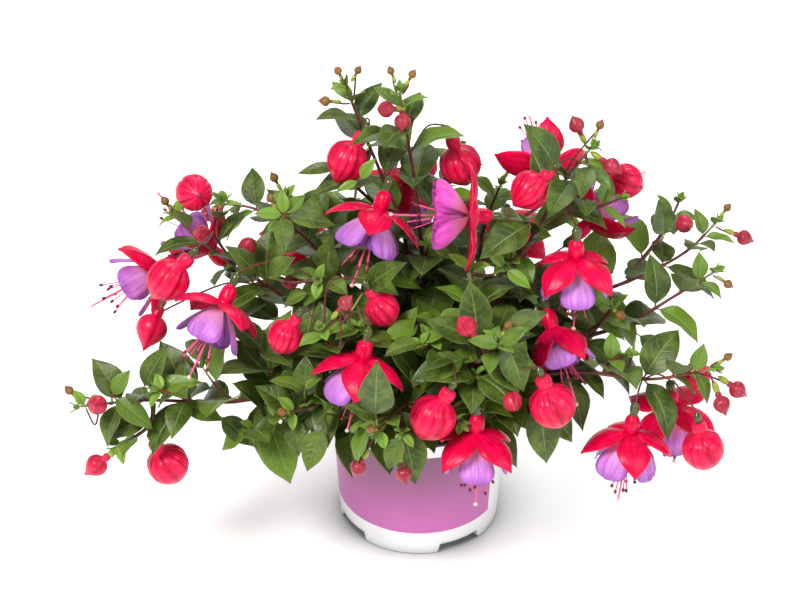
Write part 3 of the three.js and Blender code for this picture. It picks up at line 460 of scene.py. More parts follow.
def stalk_way(band, side, neck, axis, sideways):
    """Where a stalk starts, where it bends, and the frame of the ring at its bend."""
    start = band.place + side_normal(band.frame, side) * STEM.tip
    reach = np.linalg.norm(neck - start)
    way = (neck - start) / reach
    behind = 0.16 + 0.6 * max(0.0, -(way @ axis))
    bend = mix(start, neck, 0.5) - axis * behind * reach + side_normal(band.frame, side) * 0.1 * reach
    bend = bend + unit(np.cross(way, axis)) * sideways
    level = carried(unit(unit(bend - start) + unit(neck - bend)), band.frame)
    return start, bend, level


def length_at(band):
    return LEAF_LENGTHS[min(band.pair, len(LEAF_LENGTHS) - 1)]


def leaf_arc(spot, side, length, number, leaf, choice):
    """A leaf on one side of a stem at a spot; number and leaf name its draws."""
    place, direction, frame_ = spot.place, spot.direction, spot.frame
    rise, turn, scale = choice
    length *= (0.88 + 0.24 * draw(number, leaf, 1)) * scale
    swing = 24 * (draw(number, leaf, 2) - 0.5) + turn
    droop = LEAF.droop * (0.6 + 0.8 * draw(number, leaf, 3))
    out = turned_about(side_normal(frame_, side), direction, swing)
    forward = unit(out * LEAF.spread + direction * (1 - LEAF.spread))
    outward = flat_to(UP + direction * LEAF.follow, forward)
    start = LEAF.rise + rise
    return Arc(place, forward, outward, start, start - droop, length)


def first_arc(suits, spot, side, length, number, leaf, choices=LEAF_CHOICES):
    """The first of the places tried for a leaf that suits."""
    arcs = (leaf_arc(spot, side, length, number, leaf, choice) for choice in choices)
    return next((arc for arc in arcs if suits(arc)), None)


def first_leaf_ring(arc):
    part = next(widest for up_to, widest in WIDEST if arc.length < up_to)
    (middle,), (normal,) = arc.at(vector([part]))
    half = arc.length * LEAF.width / 2
    edges = [middle + arc.across * side * half + normal * LEAF.fold * half for side in (1, -1)]
    return [*edges, middle + normal * LEAF.thick / 2, middle - normal * LEAF.thick / 2]


def foot_of(route):
    line = Line(route)
    start = 0
    while line.at(start)[0][2] < SOIL.top + STEM.clear_of_soil:
        start += 1
    high = line.at(start)[0]
    lean = unit((vector(route[-1]) - vector(route[0])) * (1, 1, 0))
    return start, carried(unit(high - vector(route[0])), (lean, np.cross(UP, lean)))


def hanging_on(name):
    """What hangs from a shoot by a stalk: its neck, axis, and the size of its ovary."""
    found = []
    for things, share in ((BLOOMS, 1), (BUDS, OVARY.bud_share)):
        for thing in things:
            if thing.on != name:
                continue
            axis = unit(vector(thing.axis))
            back = -TUBE_START if share == 1 else thing.radius * (1 - BUD_START)
            neck = vector(thing.place) - axis * (back + GAP + OVARY.length * share)
            found.append(Facts(neck=neck, axis=axis, ovary=share, bud=0))
    return found


def small_buds_of(shoot, stems):
    found = []
    for *middle, radius in shoot.small_buds:
        middle = vector(middle)
        band, _ = open_sides(stems, middle)[0]
        axis = unit(middle - band.place)
        found.append(Facts(neck=middle - axis * radius, axis=axis, ovary=0, bud=radius))
    return found


def grow(shoot, k):
    """A shoot's stems, stalks and leaves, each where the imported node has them."""
    def was_built(arc):
        return built.has(first_leaf_ring(arc))

    built = Built("shoot_" + shoot.name)
    start, frame_ = foot_of(shoot.stem)
    main = lay_out_stem(10 * k, shoot.stem, STEM.base, shoot.bare, frame_, start)
    plant = Facts(stems=[main], stalks=[], leaves=[])
    for i, (first, *route) in enumerate(shoot.branches):
        for band, side in open_sides([main], mix(vector(first), vector(route[0]), 0.3)):
            root = band.place + side_normal(band.frame, side) * BRANCH.base
            branch = lay_out_stem(10 * k + i + 1, [root, *route], BRANCH.base, BRANCH.bare, band.frame)
            if built.has(branch.rings[0].points):
                band.taken.add(side)
                plant.stems.append(branch)
                break
    things = hanging_on(shoot.name) + small_buds_of(shoot, plant.stems)
    for thing in things:
        tries = (
            (band, side, *stalk_way(band, side, thing.neck, thing.axis, bend))
            for band, side in open_sides(plant.stems, thing.neck)[: STALK.sides_tried]
            for bend in STALK.bends
        )
        for band, side, root, bend, level in tries:
            if built.has(ring(bend, level, STALK.radius, 4)):
                band.taken.add(side)
                plant.stalks.append((thing, root, bend))
                break
    for stem in plant.stems:
        for band in stem.bands:
            for side in leaf_sides(band):
                leaf = 4 * band.pair + side
                arc = first_arc(was_built, band, side, length_at(band), stem.number, leaf)
                if arc:
                    plant.leaves.append((arc, stem.number, leaf))
    return plant


# ---- materials -----------------------------------------------------------------------------------
def paint(code):
    """A linear colour from a six-figure sRGB code."""
    parts = [int(code[i:i + 2], 16) / 255 for i in (0, 2, 4)]
    return (*(((c + 0.055) / 1.055) ** 2.4 if c > 0.04045 else c / 12.92 for c in parts), 1.0)


class Look:
    """A procedural material, with short calls that each add a node. Colours are sRGB codes."""

    def __init__(self, name):
        self.material = bpy.data.materials.new(name)
        self.material.use_nodes = True
        self.tree = self.material.node_tree
        self.tree.nodes.clear()
        self.object = self.node("TexCoord").outputs["Object"]

    def node(self, kind, sockets=(), **settings):
        node = self.tree.nodes.new("ShaderNode" + kind)
        for key, value in settings.items():
            setattr(node, key, value)
        for key, value in dict(sockets).items():
            if isinstance(value, bpy.types.NodeSocket):
                self.tree.links.new(value, node.inputs[key])
            else:
                node.inputs[key].default_value = value
        return node

    def math(self, operation, *values):
        return self.node("Math", enumerate(values), operation=operation).outputs[0]

    def times(self, a, b, *plus):
        return self.math("MULTIPLY_ADD" if plus else "MULTIPLY", a, b, *plus)

    def split(self, attribute):
        facts = self.node("Attribute", attribute_name=attribute).outputs["Vector"]
        return self.node("SeparateXYZ", {0: facts}).outputs

    def step(self, value, low, high):
        """0 below low, 1 above high, and smooth between them."""
        sockets = {"Value": value, "From Min": low, "From Max": high}
        return self.node("MapRange", sockets, interpolation_type="SMOOTHSTEP").outputs[0]

    def near(self, value, centre, reach):
        """1 at a value, falling to 0 a reach away."""
        away = self.math("ABSOLUTE", self.math("SUBTRACT", value, centre))
        return self.math("SUBTRACT", 1.0, self.step(away, 0.0, reach))

    def noise(self, size, detail=3.0, stretch=None):
        """Noise with features of a size in millimetres."""
        where = self.object
        if stretch:
            where = self.node("Mapping", {"Vector": where, "Scale": stretch}).outputs[0]
        sockets = {"Vector": where, "Scale": 1 / (size * MM), "Detail": detail}
        return self.node("TexNoise", sockets).outputs[0]

    def streaks(self, across, along, chance):
        """Noise drawn out along a blade, different on each."""
        parts = zip((across, along, chance), (5.0, 1.3, 20.0))
        where = self.node("CombineXYZ", enumerate(self.times(*pair) for pair in parts)).outputs[0]
        return self.node("TexNoise", {"Vector": where, "Scale": 1.6, "Detail": 4.0}).outputs[0]

    def mix(self, factor, a, b):
        a, b = (paint(colour) if isinstance(colour, str) else colour for colour in (a, b))
        return self.node("Mix", {0: factor, 6: a, 7: b}, data_type="RGBA").outputs[2]

    def over(self, base, factor, colour, share=None):
        """The base with a colour over it, by a factor and up to a share."""
        return self.mix(self.times(factor, share) if share else factor, base, colour)

    def bump(self, height, distance, strength=1.0):
        sockets = {"Height": height, "Distance": distance * MM, "Strength": strength}
        return self.node("Bump", sockets).outputs[0]

    def finish(self, base, rough, soft=None, **sockets):
        """soft: how much light goes into it, and how many millimetres deep."""
        if soft:
            sockets |= {"Subsurface_Weight": soft[0], "Subsurface_Scale": soft[1] * MM}
        names = {key.replace("_", " "): value for key, value in sockets.items()}
        shader = self.node("BsdfPrincipled", {"Base Color": base, "Roughness": rough, **names})
        self.node("OutputMaterial", {"Surface": shader.outputs[0]})
        return self.material


def leaf_look():
    """place: across, along, underside. tone: draw, age."""
    look = Look("fuchsia_leaf")
    across, along, under = look.split("place")
    chance, age, _ = look.split("tone")
    off = look.math("ABSOLUTE", across)
    slant = look.times(look.math("POWER", off, 1.5), -0.22)
    sweep = look.times(look.noise(12.0), 0.12, slant)
    rib = look.math("FRACT", look.times(look.math("ADD", sweep, along), 8.0))
    side_veins = look.times(look.near(rib, 0.5, 0.16), look.step(off, 0.95, 0.5))
    veins = look.math("MAXIMUM", look.near(off, 0.0, 0.085), look.times(side_veins, 0.26))
    patches = look.step(look.noise(9.0), 0.35, 0.7)
    base = look.mix(patches, "364a12", "586e22")
    base = look.over(base, look.step(chance, 0.6, 0.95), "688a22", 0.85)
    base = look.mix(look.step(age, 0.1, 0.6), "769c32", base)
    base = look.over(base, veins, "8fa660", 0.6)
    base = look.over(base, look.step(off, 0.93, 0.99), "93a468", 0.5)
    base = look.over(base, under, "71864c", 0.5)
    base = look.over(base, look.step(along, 0.12, 0.06), "7c4a3a")
    height = look.times(look.noise(1.4), 0.35, look.times(veins, -1.6))
    rough = look.times(under, 0.2, look.times(patches, 0.1, 0.36))
    return look.finish(
        base, rough, (0.08, 1.5), Normal=look.bump(height, 0.3, 0.8), Specular_IOR_Level=0.4
    )


def stem_look():
    """place: around, along. tone: greenness in its third part."""
    look = Look("fuchsia_stem")
    _, _, green = look.split("tone")
    _, along, _ = look.split("place")
    grain = look.noise(1.2, 4.0, (1.0, 1.0, 0.25))
    patches = look.step(grain, 0.3, 0.7)
    young = look.mix(patches, "592823", "7b4034")
    woody = look.mix(patches, "3a221c", "6a4a39")
    base = look.mix(look.math("SUBTRACT", 1.0, look.step(along, 0.1, 0.6)), young, woody)
    base = look.over(base, look.step(look.math("ADD", along, green), 0.93, 1.0), "7f8f45")
    return look.finish(base, 0.5, Normal=look.bump(grain, 0.3, 0.6), Specular_IOR_Level=0.4)


def stalk_look():
    look = Look("flower_stalk")
    grain = look.noise(1.5)
    return look.finish(look.mix(grain, "4a1e1c", "6e3029"), 0.4, Normal=look.bump(grain, 0.1, 0.4))


def ovary_look():
    """place: around, along. tone: 1 in its third part for a small bud's."""
    look = Look("ovary")
    _, along, _ = look.split("place")
    _, _, small = look.split("tone")
    grain = look.noise(2.0)
    base = look.mix(small, look.mix(grain, "333f18", "55602a"), look.mix(grain, "7d8f24", "a5ae3a"))
    base = look.over(base, look.step(along, 0.8, 1.0), "7d4436")
    return look.finish(base, 0.24, Normal=look.bump(grain, 0.1, 0.3), Coat_Weight=0.2)


def sepal_look():
    """place: across, along, inside. tone: draw."""
    look = Look("red_sepal")
    across, along, inner = look.split("place")
    chance, _, _ = look.split("tone")
    off = look.math("ABSOLUTE", across)
    streaks = look.streaks(across, along, chance)
    base = look.mix(look.step(look.noise(7.0), 0.3, 0.75), "d40038", "ea0450")
    # partly the sepal's own striations, partly painted light: the brighter streaks are a painted satin
    # highlight and the darker streaks painted shade
    base = look.over(base, look.step(streaks, 0.5, 0.72), "f81458", 0.6)
    base = look.over(base, look.step(streaks, 0.5, 0.3), "a00028", 0.6)
    base = look.over(base, inner, "c00638", 0.5)
    base = look.over(base, look.step(off, 0.94, 1.0), "ff6c88", 0.4)
    base = look.over(base, look.step(along, 0.955, 0.985), "7d2430")
    height = look.times(look.noise(1.1, 4.0), 0.35, streaks)
    return look.finish(
        base, 0.27, (0.1, 2), Normal=look.bump(height, 0.5, 0.6), Specular_IOR_Level=0.22
    )


def bud_look():
    """place: around, along, depth of the groove. tone: draw, ripeness, youth."""
    look = Look("red_bud")
    _, along, groove = look.split("place")
    _, ripe, young = look.split("tone")
    mottle = look.step(look.noise(6.0), 0.3, 0.75)
    green = look.mix(mottle, "735a2a", "8f6c38")
    rose = look.mix(mottle, "8e2836", "b0404f")
    rose = look.mix(look.times(young, look.step(along, 1.25, 0.6)), rose, green)
    base = look.mix(ripe, rose, look.mix(mottle, "d40038", "ea0a50"))
    # painted highlight: the rib crests of ripe buds lightened towards pink
    base = look.over(base, look.times(look.step(groove, 0.008, 0.0), look.times(ripe, 0.16)), "fb5076")
    # painted shade: the grooves and creases between the ribs darkened
    base = look.over(base, look.step(groove, 0.015, 0.05), "9c0a2a", 0.6)
    base = look.over(base, look.step(along, 0.93, 1.0), "8a2a35")
    height = look.times(look.noise(1.2), 0.4, look.noise(5.0))
    return look.finish(
        base, 0.28, (0.1, 2), Normal=look.bump(height, 0.3, 0.6), Specular_IOR_Level=0.24
    )


def petal_look():
    """place: across, along, inside. tone: draw, magenta share."""
    look = Look("violet_petal")
    across, along, inner = look.split("place")
    chance, magenta, _ = look.split("tone")
    fan = look.math("FRACT", look.times(across, 4.5, 0.5))
    veins = look.times(look.near(fan, 0.5, 0.17), look.step(along, 0.6, 0.15))
    streaks = look.streaks(across, along, chance)
    off = look.math("ABSOLUTE", across)
    edge = look.math("MAXIMUM", look.step(off, 0.6, 1.0), look.step(along, 0.75, 1.0))
    violet = look.mix(look.step(streaks, 0.2, 0.8), "a862c2", "d398e4")
    violet = look.over(violet, edge, "8848b0", 0.7)
    hot = look.mix(look.step(streaks, 0.3, 0.7), "e838bc", "fb72dc")
    hot = look.over(hot, edge, "d020a4", 0.6)
    base = look.over(violet, magenta, hot, 0.95)
    base = look.over(base, look.step(along, 0.7, 0.1), "f4b8e0", 0.85)
    base = look.over(base, veins, "dd4c97", 0.7)
    base = look.over(base, inner, "6c2a90", 0.5)
    height = look.times(veins, -0.2, streaks)
    return look.finish(
        base, 0.45, (0.2, 2), Normal=look.bump(height, 0.3, 0.5), Sheen_Weight=0.15, Specular_IOR_Level=0.35
    )


def stamen_look():
    """tone: anther share, stigma share."""
    look = Look("stamen")
    anther, stigma, _ = look.split("tone")
    grain = look.noise(0.8)
    base = look.mix(grain, "e8357c", "f56a9c")
    base = look.mix(anther, base, look.mix(grain, "5d0f24", "8d1c38"))
    base = look.mix(stigma, base, look.mix(grain, "f3b3b0", "f9d9c6"))
    return look.finish(base, 0.38, Normal=look.bump(grain, 0.08, 0.4))


BAND = Facts(bottom=18, top=82, left=-190, right=58)  # millimetres, and degrees from the front


def pot_look():
    """White outside with a purple band that is darker towards its top, black inside and on the rim. tone:
    black share.
    """
    look = Look("pot_plastic")
    black, _, _ = look.split("tone")
    x, y, z = look.node("SeparateXYZ", {0: look.object}).outputs
    turn = look.math("ARCTAN2", x, look.times(y, -1.0))
    left, right, edge = (math.radians(degrees) for degrees in (BAND.left, BAND.right, 0.6))
    back = look.math("GREATER_THAN", turn, right)
    turn = look.math("SUBTRACT", turn, look.times(back, 2 * math.pi))
    floor_edge = look.step(z, (BAND.bottom - 0.1) * MM, (BAND.bottom + 0.2) * MM)
    level = look.times(floor_edge, look.step(z, (BAND.top + 0.7) * MM, (BAND.top + 0.4) * MM))
    band = look.times(look.step(turn, left, left + edge), level)
    purple = look.mix(look.step(z, BAND.bottom * MM, BAND.top * MM), "cb6cb4", "8f5a7c")
    speckle = look.noise(0.6, 5.0)
    purple = look.over(purple, speckle, "7c4f78", 0.12)
    base = look.mix(band, look.mix(speckle, "f0f0f1", "f6f6f7"), purple)
    return look.finish(
        look.over(base, black, "131314"), look.times(speckle, 0.12, 0.32),
        Normal=look.bump(look.noise(14.0), 0.25, 0.35), Specular_IOR_Level=0.45,
    )


def soil_look():
    look = Look("potting_soil")
    lumps = look.noise(3.0, 8.0)
    base = look.mix(look.step(lumps, 0.35, 0.7), "17100c", "4a3426")
    base = look.over(base, look.step(look.noise(1.0, 2.0), 0.68, 0.74), "8a7257")
    return look.finish(base, 0.95, Normal=look.bump(lumps, 2.0))


def floor_look():
    """A pale floor with a painted contact shadow: darker, and glowing less, where something stands close to
    it.
    """
    look = Look("pale_floor")
    tint = look.mix(look.noise(60.0), "fafafa", "ffffff")
    # painted contact shadow: ambient occlusion turns the floor grey and dims its glow close to the pot and
    # anything else near it
    clear = look.step(look.node("AmbientOcclusion", {"Distance": 0.06}).outputs["AO"], 0.25, 0.92)
    tint = look.mix(clear, "8a8a8a", tint)
    glow = look.times(clear, 0.3)
    return look.finish(tint, 0.9, Emission_Color=paint("ffffff"), Emission_Strength=glow)


# ---- shoots: their fine pieces -------------------------------------------------------------------
LEAF_OUTLINE = (
    (0, 0), (0.004, 0.03), (0.05, 0.026), (0.095, 0.03), (0.12, 0.09), (0.16, 0.2), (0.22, 0.32), (0.3, 0.41),
    (0.4, 0.462), (0.5, 0.468), (0.6, 0.43), (0.7, 0.35), (0.8, 0.24), (0.88, 0.135), (0.95, 0.045), (1, 0),
)
LEAF_THICK = 0.45
AGES = Facts(young=10, span=30)  # the length of the youngest leaves, and what the oldest have more


def add_leaf(piece, arc, chance, breadth=1.0):
    age = np.clip((arc.length - AGES.young) / AGES.span, 0, 1)
    waves = 2 + round(2 * chance)

    def lift(side, part, half):
        off = np.abs(side)
        fold = LEAF.fold * half * off**1.3
        wave = 0.1 * half * np.sin(waves * math.pi * part + 6 * chance + np.sign(side)) * side**2
        groove = -0.25 * np.exp(-((side / 0.09) ** 2))
        return fold + wave + groove * (part > 0.1)

    blade(piece, arc, LEAF_OUTLINE, arc.length * LEAF.width * breadth, LEAF_THICK, lift, (chance, age, 0))


def add_stem(piece, stem, first):
    """A stem with a slightly swollen node at each pair of leaves, from its foot or its fork."""
    line = stem.line
    runs = np.linspace(0, line.length, max(8, int(line.length / 2.5)))
    places = np.array([line.at(run)[0] for run in runs])
    for _ in range(2):
        places[1:-1] = (places[:-2] + 2 * places[1:-1] + places[2:]) / 4
    radii = mix(stem.radius, 0.62 * STEM.tip, runs / line.length) * 0.92
    for band in stem.bands:
        radii = radii + 0.22 * np.exp(-(((runs - band.run) / 2.0) ** 2))
    radii[-1] = 0
    if first:
        radii[0] = 0
    tube(piece, places, radii, 10)


def add_tip(piece, stem):
    """The closed growing tip: small leaves that still stand round it."""
    end, direction = stem.line.at(stem.line.length)
    frame_ = carried(direction, stem.rings[-1].frame)
    for k in range(4):
        inner = k % 2
        root = end - direction * 2.2
        arc = Arc(root, direction, side_normal(frame_, k), 12 + 14 * inner, 46, 8 - 1.5 * inner)
        add_leaf(piece, arc, draw(stem.number, k, 4))


def seams(turn, part=0):
    """How far a bud's four seams cut into it, as a relief."""
    return 1 - SEAM * np.exp(-((np.sin(2 * turn) / 0.2) ** 2))


def add_stalk(stalks, ovaries, buds, stalk):
    """A stalk with the ovary and neck of its bloom or bud, or with a whole small bud."""
    thing, root, bend = stalk
    end = thing.neck + thing.axis * 1.0
    places = Line([root, bend, thing.neck, end + thing.axis], 6).points[:-4]
    radii = np.full(len(places), 0.6 * STALK.radius)
    radii[0] = radii[-1] = 0
    tube(stalks, places, radii, 8)
    if thing.ovary:
        length = (OVARY.length + GAP + 0.4) / OVARY.length
        knots = (
            (0, 0.08), (0.08, 0.14), (0.25, 0.3), (0.5, 0.335), (0.75, 0.3), (0.95, 0.26), (length, 0.25),
        )
        profile = [(0, 0), *smooth_profile(knots, 3), (length, 0)]
        lathe(ovaries, thing.neck, thing.axis, profile, OVARY.length * thing.ovary, 16, (0, 0, 0))
    else:
        knots = (
            (-0.5, 0.25), (-0.3, 0.36), (0, 0.36), (0.12, 0.38), (0.3, 0.68), (0.62, 0.92), (1, 0.98),
            (1.4, 0.86), (1.8, 0.56), (2.1, 0.27), (2.35, 0.09), (2.5, 0),
        )
        ripe, youth = np.clip(((thing.bud - 5) / 4, (5 - thing.bud) / 2), 0, 1)
        size = 0.28 * thing.bud + 0.5
        knots_below = ((0, 0.3), (0.8, 0.75), (2, 1), (3.2, 0.9), (3.9, 0.6))
        below = [(0, 0), *smooth_profile(knots_below, 3), (3.9, 0)]
        foot = thing.neck - thing.axis * (0.5 * thing.bud + 3.7 * size)
        lathe(ovaries, foot, thing.axis, below, size, 14, (0, 0, 1))
        rows = [(-0.5, 0), *smooth_profile(knots, 3)]
        lathe(buds, thing.neck, thing.axis, rows, thing.bud, 32, (0, ripe, youth), seams)


# ---- leaves and twigs that fill the plant out ----------------------------------------------------
VIEWPOINT = vector((-12.5, -1478.6, 1200.9))  # where the plant is seen from
# The least and most that a twig and a leaf on it are long, and what each pair from the tip adds.
TWIG = Facts(length=(12, 32), leaf=(27, 45), more=5, stations=(0.5, 1.0), sizes=(1, 0.74))
TWIG.apart, TWIG.tries, TWIG.choices, TWIG.fewest_leaves = 22, 3, 9, 2
# Low on a stem, below its pairs: the leaves' length, the pair that twigs are sized as, where the keys
# of its draws start, and how near it comes to the soil or the foot.
LOW = Facts(leaf=42, pair=9, key=90, over_soil=12, over_foot=6)
LOWEST_LEAF = 74
MOST_TAKEN, MOST_HIDING = 0.08, 0.05  # parts of a leaf, in taken cells and in front of a bloom
DOME = Facts(middle=vector((-14, -12, 140)), reach=vector((146, 118, 84)))


class Room:
    """What is taken round the plant, in cells, and what has to stay in view."""

    CELL, CORNER, SHAPE = 4.0, vector((-280, -240, -40)), (140, 120, 110)
    VIEW, VIEW_SCALE, VIEW_DOWN = (210, 160), 620, math.radians(35)

    def __init__(self):
        self.cells = np.zeros(self.SHAPE, bool)
        self.view = np.zeros(self.VIEW)

    def index(self, points):
        return tuple(((points - self.CORNER) / self.CELL).astype(int).T)

    def fill(self, points):
        self.cells[self.index(points)] = True

    def taken(self, points):
        return self.cells[self.index(points)].mean()

    def seen(self, points):
        """Directions from the viewpoint, in cells of about 3 mm at the plant, and the distance."""
        way = points - VIEWPOINT
        depth = np.linalg.norm(way, axis=1)
        s, c = math.sin(self.VIEW_DOWN), math.cos(self.VIEW_DOWN)
        ahead = -way[:, 2] * s + way[:, 1] * c
        up = way[:, 2] * c + way[:, 1] * s
        columns, rows = (
            (offset / ahead * self.VIEW_SCALE + cells // 2).astype(int).clip(0, cells - 1)
            for offset, cells in zip((way[:, 0], up), self.VIEW)
        )
        return columns, rows, depth

    def show(self, points):
        columns, rows, depth = self.seen(points)
        np.maximum.at(self.view, (columns, rows), depth)

    def hides(self, points):
        columns, rows, depth = self.seen(points)
        return (depth < self.view[columns, rows]).mean()

    def fits(self, arc):
        """Whether a leaf is over the rim, in the CAD box and the dome, in free room, and hides nothing."""
        points = spread_of(arc)
        x, y, z = points.T
        if z.min() < LOWEST_LEAF or np.any((z < POT.height + 1) & (np.hypot(x, y) < POT.rim + 2)):
            return False
        if np.any(points * MM < cad_box[0]) or np.any(points * MM > cad_box[1]):
            return False
        if np.linalg.norm((points.mean(axis=0) - DOME.middle) / DOME.reach) > 1:
            return False
        return self.taken(points) < MOST_TAKEN and self.hides(points) < MOST_HIDING


def spread_of(arc):
    """Points all over a leaf."""
    part, half = vector(LEAF_OUTLINE).T
    grid = np.linspace(0.12, 1, 12)
    halves = np.interp(grid, part, half) * arc.length * LEAF.width
    middle, normal = arc.at(grid)
    side = np.linspace(-1, 1, 7)[None, :, None]
    out = halves[:, None, None] * side
    points = middle[:, None] + arc.across * out + normal[:, None] * LEAF.fold * np.abs(out)
    return points.reshape(-1, 3)


def side_twig(room, spot, side, length, biggest, number, key):
    """The best of a few short twigs from a side of a stem, with the leaves that find room."""
    best = None
    for attempt in range(TWIG.tries):
        swing = 70 * (draw(number, key, 20 + attempt) - 0.5)
        out = turned_about(side_normal(spot.frame, side), spot.direction, swing)
        way = unit(out * 0.8 + spot.direction * 0.45 + UP * (0.15 + 0.3 * draw(number, key, 30 + attempt)))
        ahead = 0, way * 0.5 * length, unit(way + 0.25 * UP) * length
        line = Line([spot.place + step for step in ahead])
        frame_ = carried(way, spot.frame)
        leaves = []
        reached = 0
        for k, (station, size) in enumerate(zip(TWIG.stations, TWIG.sizes)):
            place, ahead = line.at(station * line.length)
            frame_ = carried(ahead, frame_)
            at = Spot(place, ahead, frame_)
            for half in (0, 2):
                leaf = 8 * k + half + 100 * key + 7 * attempt
                choices = LEAF_CHOICES[:TWIG.choices]
                arc = first_arc(room.fits, at, half + k % 2, biggest * size, number, leaf, choices)
                if arc:
                    leaves.append((arc, number, leaf))
                    reached = station
        if not best or len(leaves) > len(best[0]):
            best = leaves, line.points[line.runs <= max(reached, 0.3) * line.length + 0.5]
    return best


def fill_out(room, plant):
    """Leaves where the CAD model has none: at skipped places, low on the stem, and on short twigs."""
    more = Facts(leaves=[], twigs=[])
    held = {(number, leaf) for _, number, leaf in plant.leaves}

    def keep(leaves):
        for arc, _, _ in leaves:
            room.fill(spread_of(arc))
        more.leaves.extend(leaves)

    def try_leaf(spot, side, length, number, leaf):
        arc = first_arc(room.fits, spot, side, length, number, leaf)
        keep([(arc, number, leaf)] if arc else [])

    def try_twig(spot, side, pair, number, key):
        sizes = (min(most, least + TWIG.more * pair) for least, most in (TWIG.length, TWIG.leaf))
        leaves, places = side_twig(room, spot, side, *sizes, number, key)
        if len(leaves) >= TWIG.fewest_leaves:
            keep(leaves)
            more.twigs.append(places)

    for stem in plant.stems:
        number = stem.number
        for band in stem.bands:
            for side in leaf_sides(band):
                leaf = 4 * band.pair + side
                if (number, leaf) not in held:
                    try_leaf(band, side, length_at(band), number, leaf)
        first = stem.bands[0] if stem.bands else None
        frame_ = first.frame if first else sides_of(stem.line.at(1)[1])
        low = SOIL.top + LOW.over_soil if stem is plant.stems[0] else 0
        run = (first.run if first else stem.line.length) - TWIG.apart
        key = LOW.key
        while run > LOW.over_foot:
            place, direction = stem.line.at(run)
            if place[2] < low:
                break
            frame_ = carried(direction, frame_)
            key += 1
            for side in (0, 2) if key % 2 else (1, 3):
                try_leaf(Spot(place, direction, frame_), side, LOW.leaf, number, 4 * key + side)
                try_twig(Spot(place, direction, frame_), side, LOW.pair, number, 10 * key + side)
            run -= TWIG.apart
        for band in stem.bands:
            for side in leaf_sides(band) if band.pair else ():
                try_twig(band, side, band.pair, number, 10 * band.pair + side)
    return more


# Leaves listed one by one, on short twigs: each spray's shoot, its foot, and its leaves' tips and breadths.
SPRAYS = (
    ("right_high", (83, -14, 271), (61, -20, 309, 0.85)),
    ("right_high", (93, -10, 263), (76, -50, 260, 0.75)),
    ("right_high", (103, -8, 272), (96, -40, 267, 0.7), (116, -26, 264, 0.7)),
    ("right_high", (67, -35, 247), (35, -64, 240, 0.9)),
    ("front", (-27, -120, 164), (-26, -130, 214, 0.8), (-46, -130, 180, 0.8)),
    ("front_right", (72, -82, 152), (78, -94, 108, 0.85), (94, -86, 118, 0.75)),
    ("top_left", (-49, 4, 263), (-76, 5, 257, 0.55)),
    ("top_left", (-19, 6, 288), (-42, -16, 291, 0.65)),
    ("top_left", (-37, -20, 268), (-27, -16, 282, 0.8), (-52, -24, 262, 0.6)),
    ("left_high", (-83, -34, 252), (-84, -26, 267, 0.85), (-51, -35, 245, 0.7), (-82, -58, 240, 0.85),
     (-101, -35, 254, 0.85), (-70, -20, 258, 0.8)),
    ("front_left", (-34, -62, 216), (-8, -74, 245, 0.75)),
    ("front", (0, -70, 196), (-24, -82, 194, 0.9)),
    ("front_right", (29, -90, 187), (-7, -104, 178, 0.8)),
    ("front_right", (35, -86, 196), (2, -86, 211, 0.85), (29, -76, 234, 0.95)),
    ("front_right", (49, -92, 206), (76, -90, 220, 0.85), (62, -106, 172, 0.9)),
    ("front_right", (47, -105, 206), (64, -106, 220, 0.8), (27, -108, 212, 0.8)),
    ("front_right", (20, -90, 168), (48, -98, 160, 0.9)),
    ("front_right", (51, -52, 225), (40, -44, 236, 0.8), (67, -62, 217, 0.8)),
    ("front_right", (30, -50, 225), (16, -52, 236, 0.7), (43, -54, 229, 0.7)),
    ("left_mid", (-99, -40, 212), (-119, -44, 237, 0.7)),
    ("left_high", (-93, -56, 222), (-75, -60, 239, 0.9)),
    ("left_low", (-169, -88, 161), (-152, -84, 192, 0.75), (-131, -92, 169, 0.6)),
    ("left_low", (-188, -90, 157), (-176, -84, 173, 0.9), (-163, -100, 139, 0.8)),
    ("left_low", (-146, -88, 150), (-120, -98, 144, 0.85)),
    ("left_low", (-124, -84, 138), (-102, -94, 121, 0.9)),
    ("left_low", (-94, -78, 144), (-99, -88, 120, 0.85), (-84, -90, 138, 0.8)),
    ("front_left", (-52, -84, 150), (-85, -94, 169, 0.75), (-87, -96, 131, 0.75)),
    ("right_back", (152, -2, 216), (146, -8, 247, 0.95)),
    ("right_low", (133, -52, 177), (158, -64, 159, 0.75)),
)
SPRAY = Facts(bend=18, facing=vector((0, -0.55, 0.83)), sag=3)


def add_twig(stems, places, base, tip):
    radii = np.linspace(base, tip, len(places))
    radii[-1] = 0
    tube(stems, places, radii, 7, (0, 0, 0.3))


def add_spray(leaves, stems, plant, foot, tips, number):
    """Leaves from a foot to their tips, upper faces up and to the front, on a twig of the nearest stem."""
    foot = vector(foot)
    wood = np.concatenate([stem.line.points for stem in plant.stems])
    near = wood[np.argmin(np.linalg.norm(wood - foot, axis=1))]
    middle = mix(near, foot, 0.5) - UP * SPRAY.sag
    add_twig(stems, Line([near, middle, foot], 6).points, 1.2, 0.6)
    for k, (*tip, breadth) in enumerate(tips):
        way = vector(tip) - foot
        half_bend = math.radians(SPRAY.bend)
        length = np.linalg.norm(way) * half_bend / math.sin(half_bend)
        arc = Arc(foot, unit(way), flat_to(SPRAY.facing, unit(way)), SPRAY.bend, -SPRAY.bend, length)
        add_leaf(leaves, arc, draw(number, k, 11), breadth)


# ---- blooms and buds -----------------------------------------------------------------------------
class Bloom:
    """A bloom's own frame: places run along its axis from the mouth, and reach out from it at a turn."""

    def __init__(self, bloom):
        self.mouth, self.axis = vector(bloom.place), unit(vector(bloom.axis))
        self.frame = sides_of(self.axis)
        self.turn, self.curl, self.flare, self.opened = bloom.turn, bloom.curl, bloom.flare, bloom.opened

    def radial(self, degrees):
        return across_at(self.frame, degrees)

    def at(self, run, reach, degrees):
        return self.mouth + self.axis * run + self.radial(degrees) * reach

    def arc(self, shape, degrees, start, end, length):
        root = self.at(*shape.root, degrees)
        return Arc(root, self.axis, self.radial(degrees), start, end, length)


